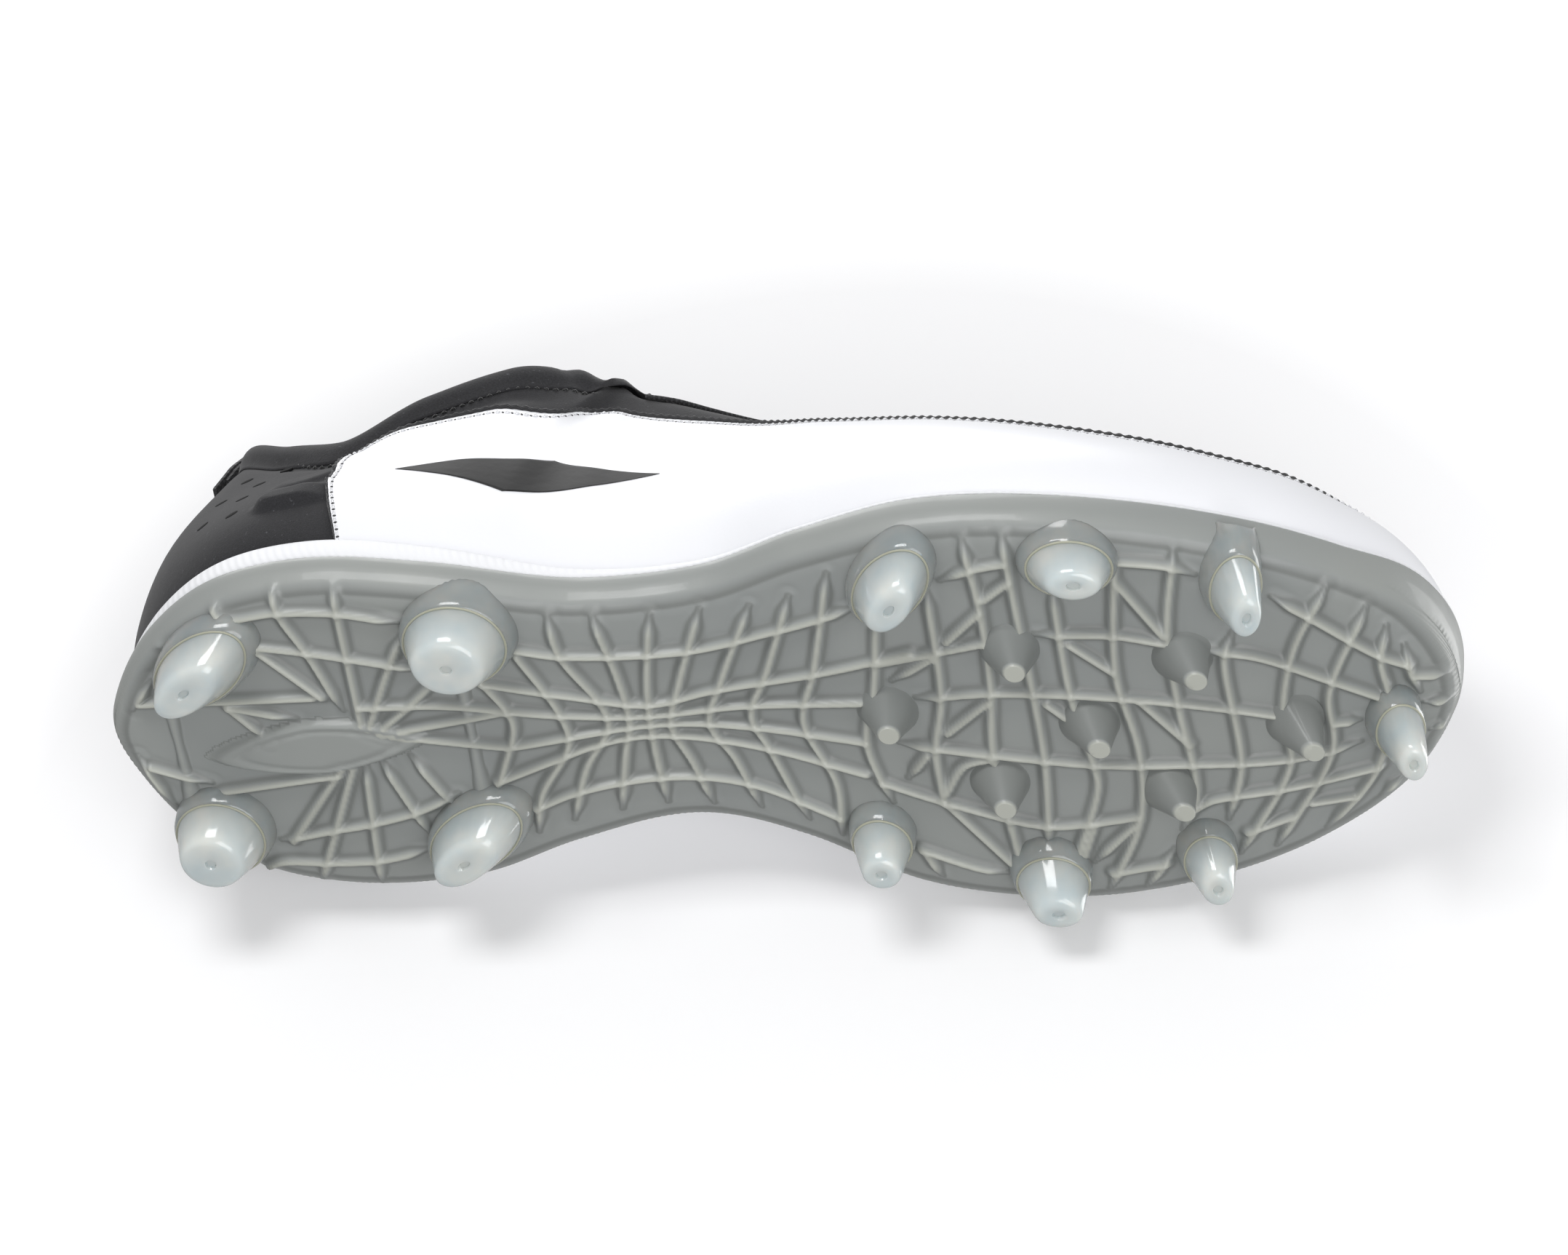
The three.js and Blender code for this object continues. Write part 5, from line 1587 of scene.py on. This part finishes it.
def build_pull_tab():
    shares = np.linspace(TAB["low"], TAB["high"], 4)
    face = list(upper(0.0, shares, TAB["front"]))
    back = list(upper(0.0, shares[1:], TAB["back"]))
    up = np.array([0, 0, TAB["rise"]])
    lean = np.array([TAB["lean"], 0, 0])
    top = face[-1] + up + lean
    over = [face[-1] + up * 0.5 + lean * 0.4, top, top + [TAB["bend"], 0, TAB["bow"]],
            top + [2 * TAB["bend"], 0, 0], back[-1] + up * 0.5]
    path = smooth_run(face + over + back[::-1], 110)
    height = path[:, 2]
    half = TAB["half"] * lerp(1, TAB["narrow"], smoothstep(height, height.max() - TAB["taper"], height.max()))
    face_way = unit(np.cross((0, 1.0, 0), np.gradient(path, axis=0))) * TAB["thick"] / 2
    sideways = half[:, None, None] * TAB_SECTION[:, :1] * np.array([0, 1.0, 0])
    shape = Shape()
    shape.tube(path[:, None] + sideways + face_way[:, None] * TAB_SECTION[:, 1:])
    tab = shape.make("pull_tab_seen", LOOKS["webbing"], body=None, stands_for=["heel_pull_tab"],
                     crease=40)

    low, high, width = TAB_BOX["low"], TAB_BOX["high"], TAB_BOX["half"]
    corners = np.array([(low, -width), (low, width), (high, width), (high, -width), (low, -width)])
    f, t = np.concatenate([np.linspace(a, b, 9) for a, b in zip(corners, corners[1:])]).T
    line = upper(0.0, f, TAB["front"] + TAB["thick"] / 2)
    line[:, 1] = t
    box = Shape()
    stitch_row(box, line, np.broadcast_to([-1.0, 0, 0.1], line.shape), TAB_BOX["pitch"])
    box_stitches = box.make("pull_tab_stitching", LOOKS["thread"], body=None)
    for piece in (tab, box_stitches):
        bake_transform(piece)



# ---- Stage, light and camera ------------------------------------------------------------

AIM = (150, 0, 10)                      # what the camera is aimed at, in last coordinates
PITCH, YAW, ROLL = 37.5, 9.5, -1.1      # how the shoe is turned before the camera, in degrees
CAMERA_SHIFT = (-3.9, 23.3, 946)        # the aim point's place before the camera: right, down, away
LENS, SENSOR = 100.2, 36.0
SIDE_LEAN = 14                          # lean of the ground that the medial side lies on, in degrees
SIDE_GROUND_T = -54.5                   # where that ground touches the sole's medial edge
SIDE_GROUND_H = 20
GROUND_HALF = 3.0                       # half the size of each ground, in metres
SEEN_WITHIN = 30                        # the side ground shows this near the photo's view, in degrees


def camera_axes():
    """The camera's right, down and forward directions in last coordinates."""
    turn = (Matrix.Rotation(math.radians(ROLL), 3, "Z") @ Matrix.Rotation(math.radians(YAW), 3, "Y")
            @ Matrix.Rotation(math.radians(PITCH), 3, "X"))
    mirror = Matrix.Diagonal((1, -1, 1))
    view = turn @ mirror
    return view.row[0], view.row[1], view.row[2]


def build_camera():
    right, down, forward = camera_axes()
    x, y, z = CAMERA_SHIFT
    spot = Vector(AIM) - right * x - down * y - forward * z
    camera = bpy.data.objects.new("camera", bpy.data.cameras.new("camera"))
    bpy.context.scene.collection.objects.link(camera)
    axes = Matrix((turn_to_frame(right), -turn_to_frame(down), -turn_to_frame(forward))).transposed()
    camera.matrix_world = Matrix.Translation(Vector(to_frame(spot))) @ axes.to_4x4()
    camera.data.lens = LENS
    camera.data.sensor_width = SENSOR
    camera.data.clip_start, camera.data.clip_end = 0.01, 20
    bpy.context.scene.camera = camera


def ground(name, centre, normal, show, brightness):
    """A large pale ground that only shows to camera rays where show(paint) is 1."""
    mesh = bpy.data.meshes.new(name)
    corners = [(-1, -1, 0), (1, -1, 0), (1, 1, 0), (-1, 1, 0)]
    mesh.from_pydata([Vector(corner) * GROUND_HALF for corner in corners], [], [(0, 1, 2, 3)])
    plane = bpy.data.objects.new(name, mesh)
    bpy.context.scene.collection.objects.link(plane)
    plane.matrix_world = Matrix.Translation(centre) @ normal.to_track_quat("Z", "Y").to_matrix().to_4x4()
    paint = Paint(name, (0.84, 0.84, 0.85), 0.9)
    away = paint.node("VectorMath", {0: paint.node("NewGeometry").outputs["Position"]}, operation="LENGTH")
    far = paint.ramp(away.outputs["Value"], 0.2, 0.5)
    glow = paint.maths("ADD", paint.maths("MULTIPLY", far, 1.3), brightness)
    paint.set(paint.shader, {"Emission Color": (1, 1, 1, 1), "Emission Strength": glow,
                             "Specular IOR Level": 0.0})
    clear = paint.node("BsdfTransparent").outputs[0]
    mixed = paint.node("MixShader", {0: show(paint), 1: clear, 2: paint.shader.outputs[0]})
    output = paint.tree.nodes["Material Output"]
    paint.tree.links.new(mixed.outputs[0], output.inputs["Surface"])
    mesh.materials.append(paint.material)
    plane.visible_shadow = False
    plane.visible_diffuse = False
    plane.visible_glossy = False
    plane.visible_transmission = False


def build_grounds():
    forward = turn_to_frame(camera_axes()[2])

    def seen_from_camera(paint):
        facing = paint.node("VectorMath", {0: paint.node("NewGeometry").outputs["Incoming"],
                                           1: tuple(-forward)}, operation="DOT_PRODUCT")
        return paint.maths("GREATER_THAN", facing.outputs["Value"], math.cos(math.radians(SEEN_WITHIN)))

    def seen_from_above(paint):
        return paint.maths("SUBTRACT", 1.0, paint.node("NewGeometry").outputs["Backfacing"])

    lean = math.radians(SIDE_LEAN)
    side_normal = turn_to_frame((0, math.cos(lean), -math.sin(lean)))
    side_point = Vector(to_frame((150, SIDE_GROUND_T, SIDE_GROUND_H)))
    ground("side_ground", side_point, side_normal, seen_from_camera, 0.09)
    ground("floor", Vector((0, 0, -0.0002)), Vector((0, 0, 1)), seen_from_above, 0.45)


def area_light(name, direction, distance, size, watts):
    """A soft square light that shines on the shoe from a direction in last coordinates."""
    data = bpy.data.lights.new(name, "AREA")
    data.shape = "RECTANGLE"
    data.size, data.size_y = size
    data.energy = watts
    light = bpy.data.objects.new(name, data)
    bpy.context.scene.collection.objects.link(light)
    way = turn_to_frame(Vector(direction).normalized())
    target = Vector(to_frame((150, 0, 50)))
    facing = way.to_track_quat("Z", "Y").to_matrix().to_4x4()
    light.matrix_world = Matrix.Translation(target + way * distance) @ facing


def build_lights():
    right, down, forward = camera_axes()
    key = -down * 0.6 - forward * 0.75 - right * 0.35
    area_light("key", key, 0.9, (0.45, 0.3), 3.6)
    area_light("front_fill", -forward + right * 0.25 + down * 0.3, 1.1, (0.8, 0.8), 6)
    area_light("top", (-0.3, 0.35, 1), 1.1, (0.9, 0.6), 6)
    area_light("toe_fill", (1, -0.4, 0.5), 1.2, (0.8, 0.8), 6)
    world = bpy.data.worlds.new("studio")
    world.use_nodes = True
    tree = world.node_tree
    backdrop = tree.nodes["Background"]
    backdrop.inputs[0].default_value = (1, 1, 1, 1)
    glow = tree.nodes.new("ShaderNodeMapRange")
    rays = tree.nodes.new("ShaderNodeLightPath")
    tree.links.new(rays.outputs["Is Camera Ray"], glow.inputs["Value"])
    glow.inputs["To Min"].default_value = 0.5
    glow.inputs["To Max"].default_value = 1.0
    tree.links.new(glow.outputs[0], backdrop.inputs[1])
    bpy.context.scene.world = world
    bpy.context.scene.view_settings.view_transform = "Standard"


# ---- Assembly ---------------------------------------------------------------------------

build_outsole()
build_small_studs()
for stud_name, stud_numbers in CLEAR_STUDS.items():
    build_clear_stud(stud_name, stud_numbers)
build_stud_seams()
build_midsole()
build_insole()
build_bootie()
build_perforations()
build_collar()
wrap = build_wrap()
build_wrap_edges()
build_side_patches(wrap)
build_layers()
build_eyestays()
build_tongue()
build_loops()
build_lace()
build_pull_tab()
build_camera()
build_grounds()
build_lights()
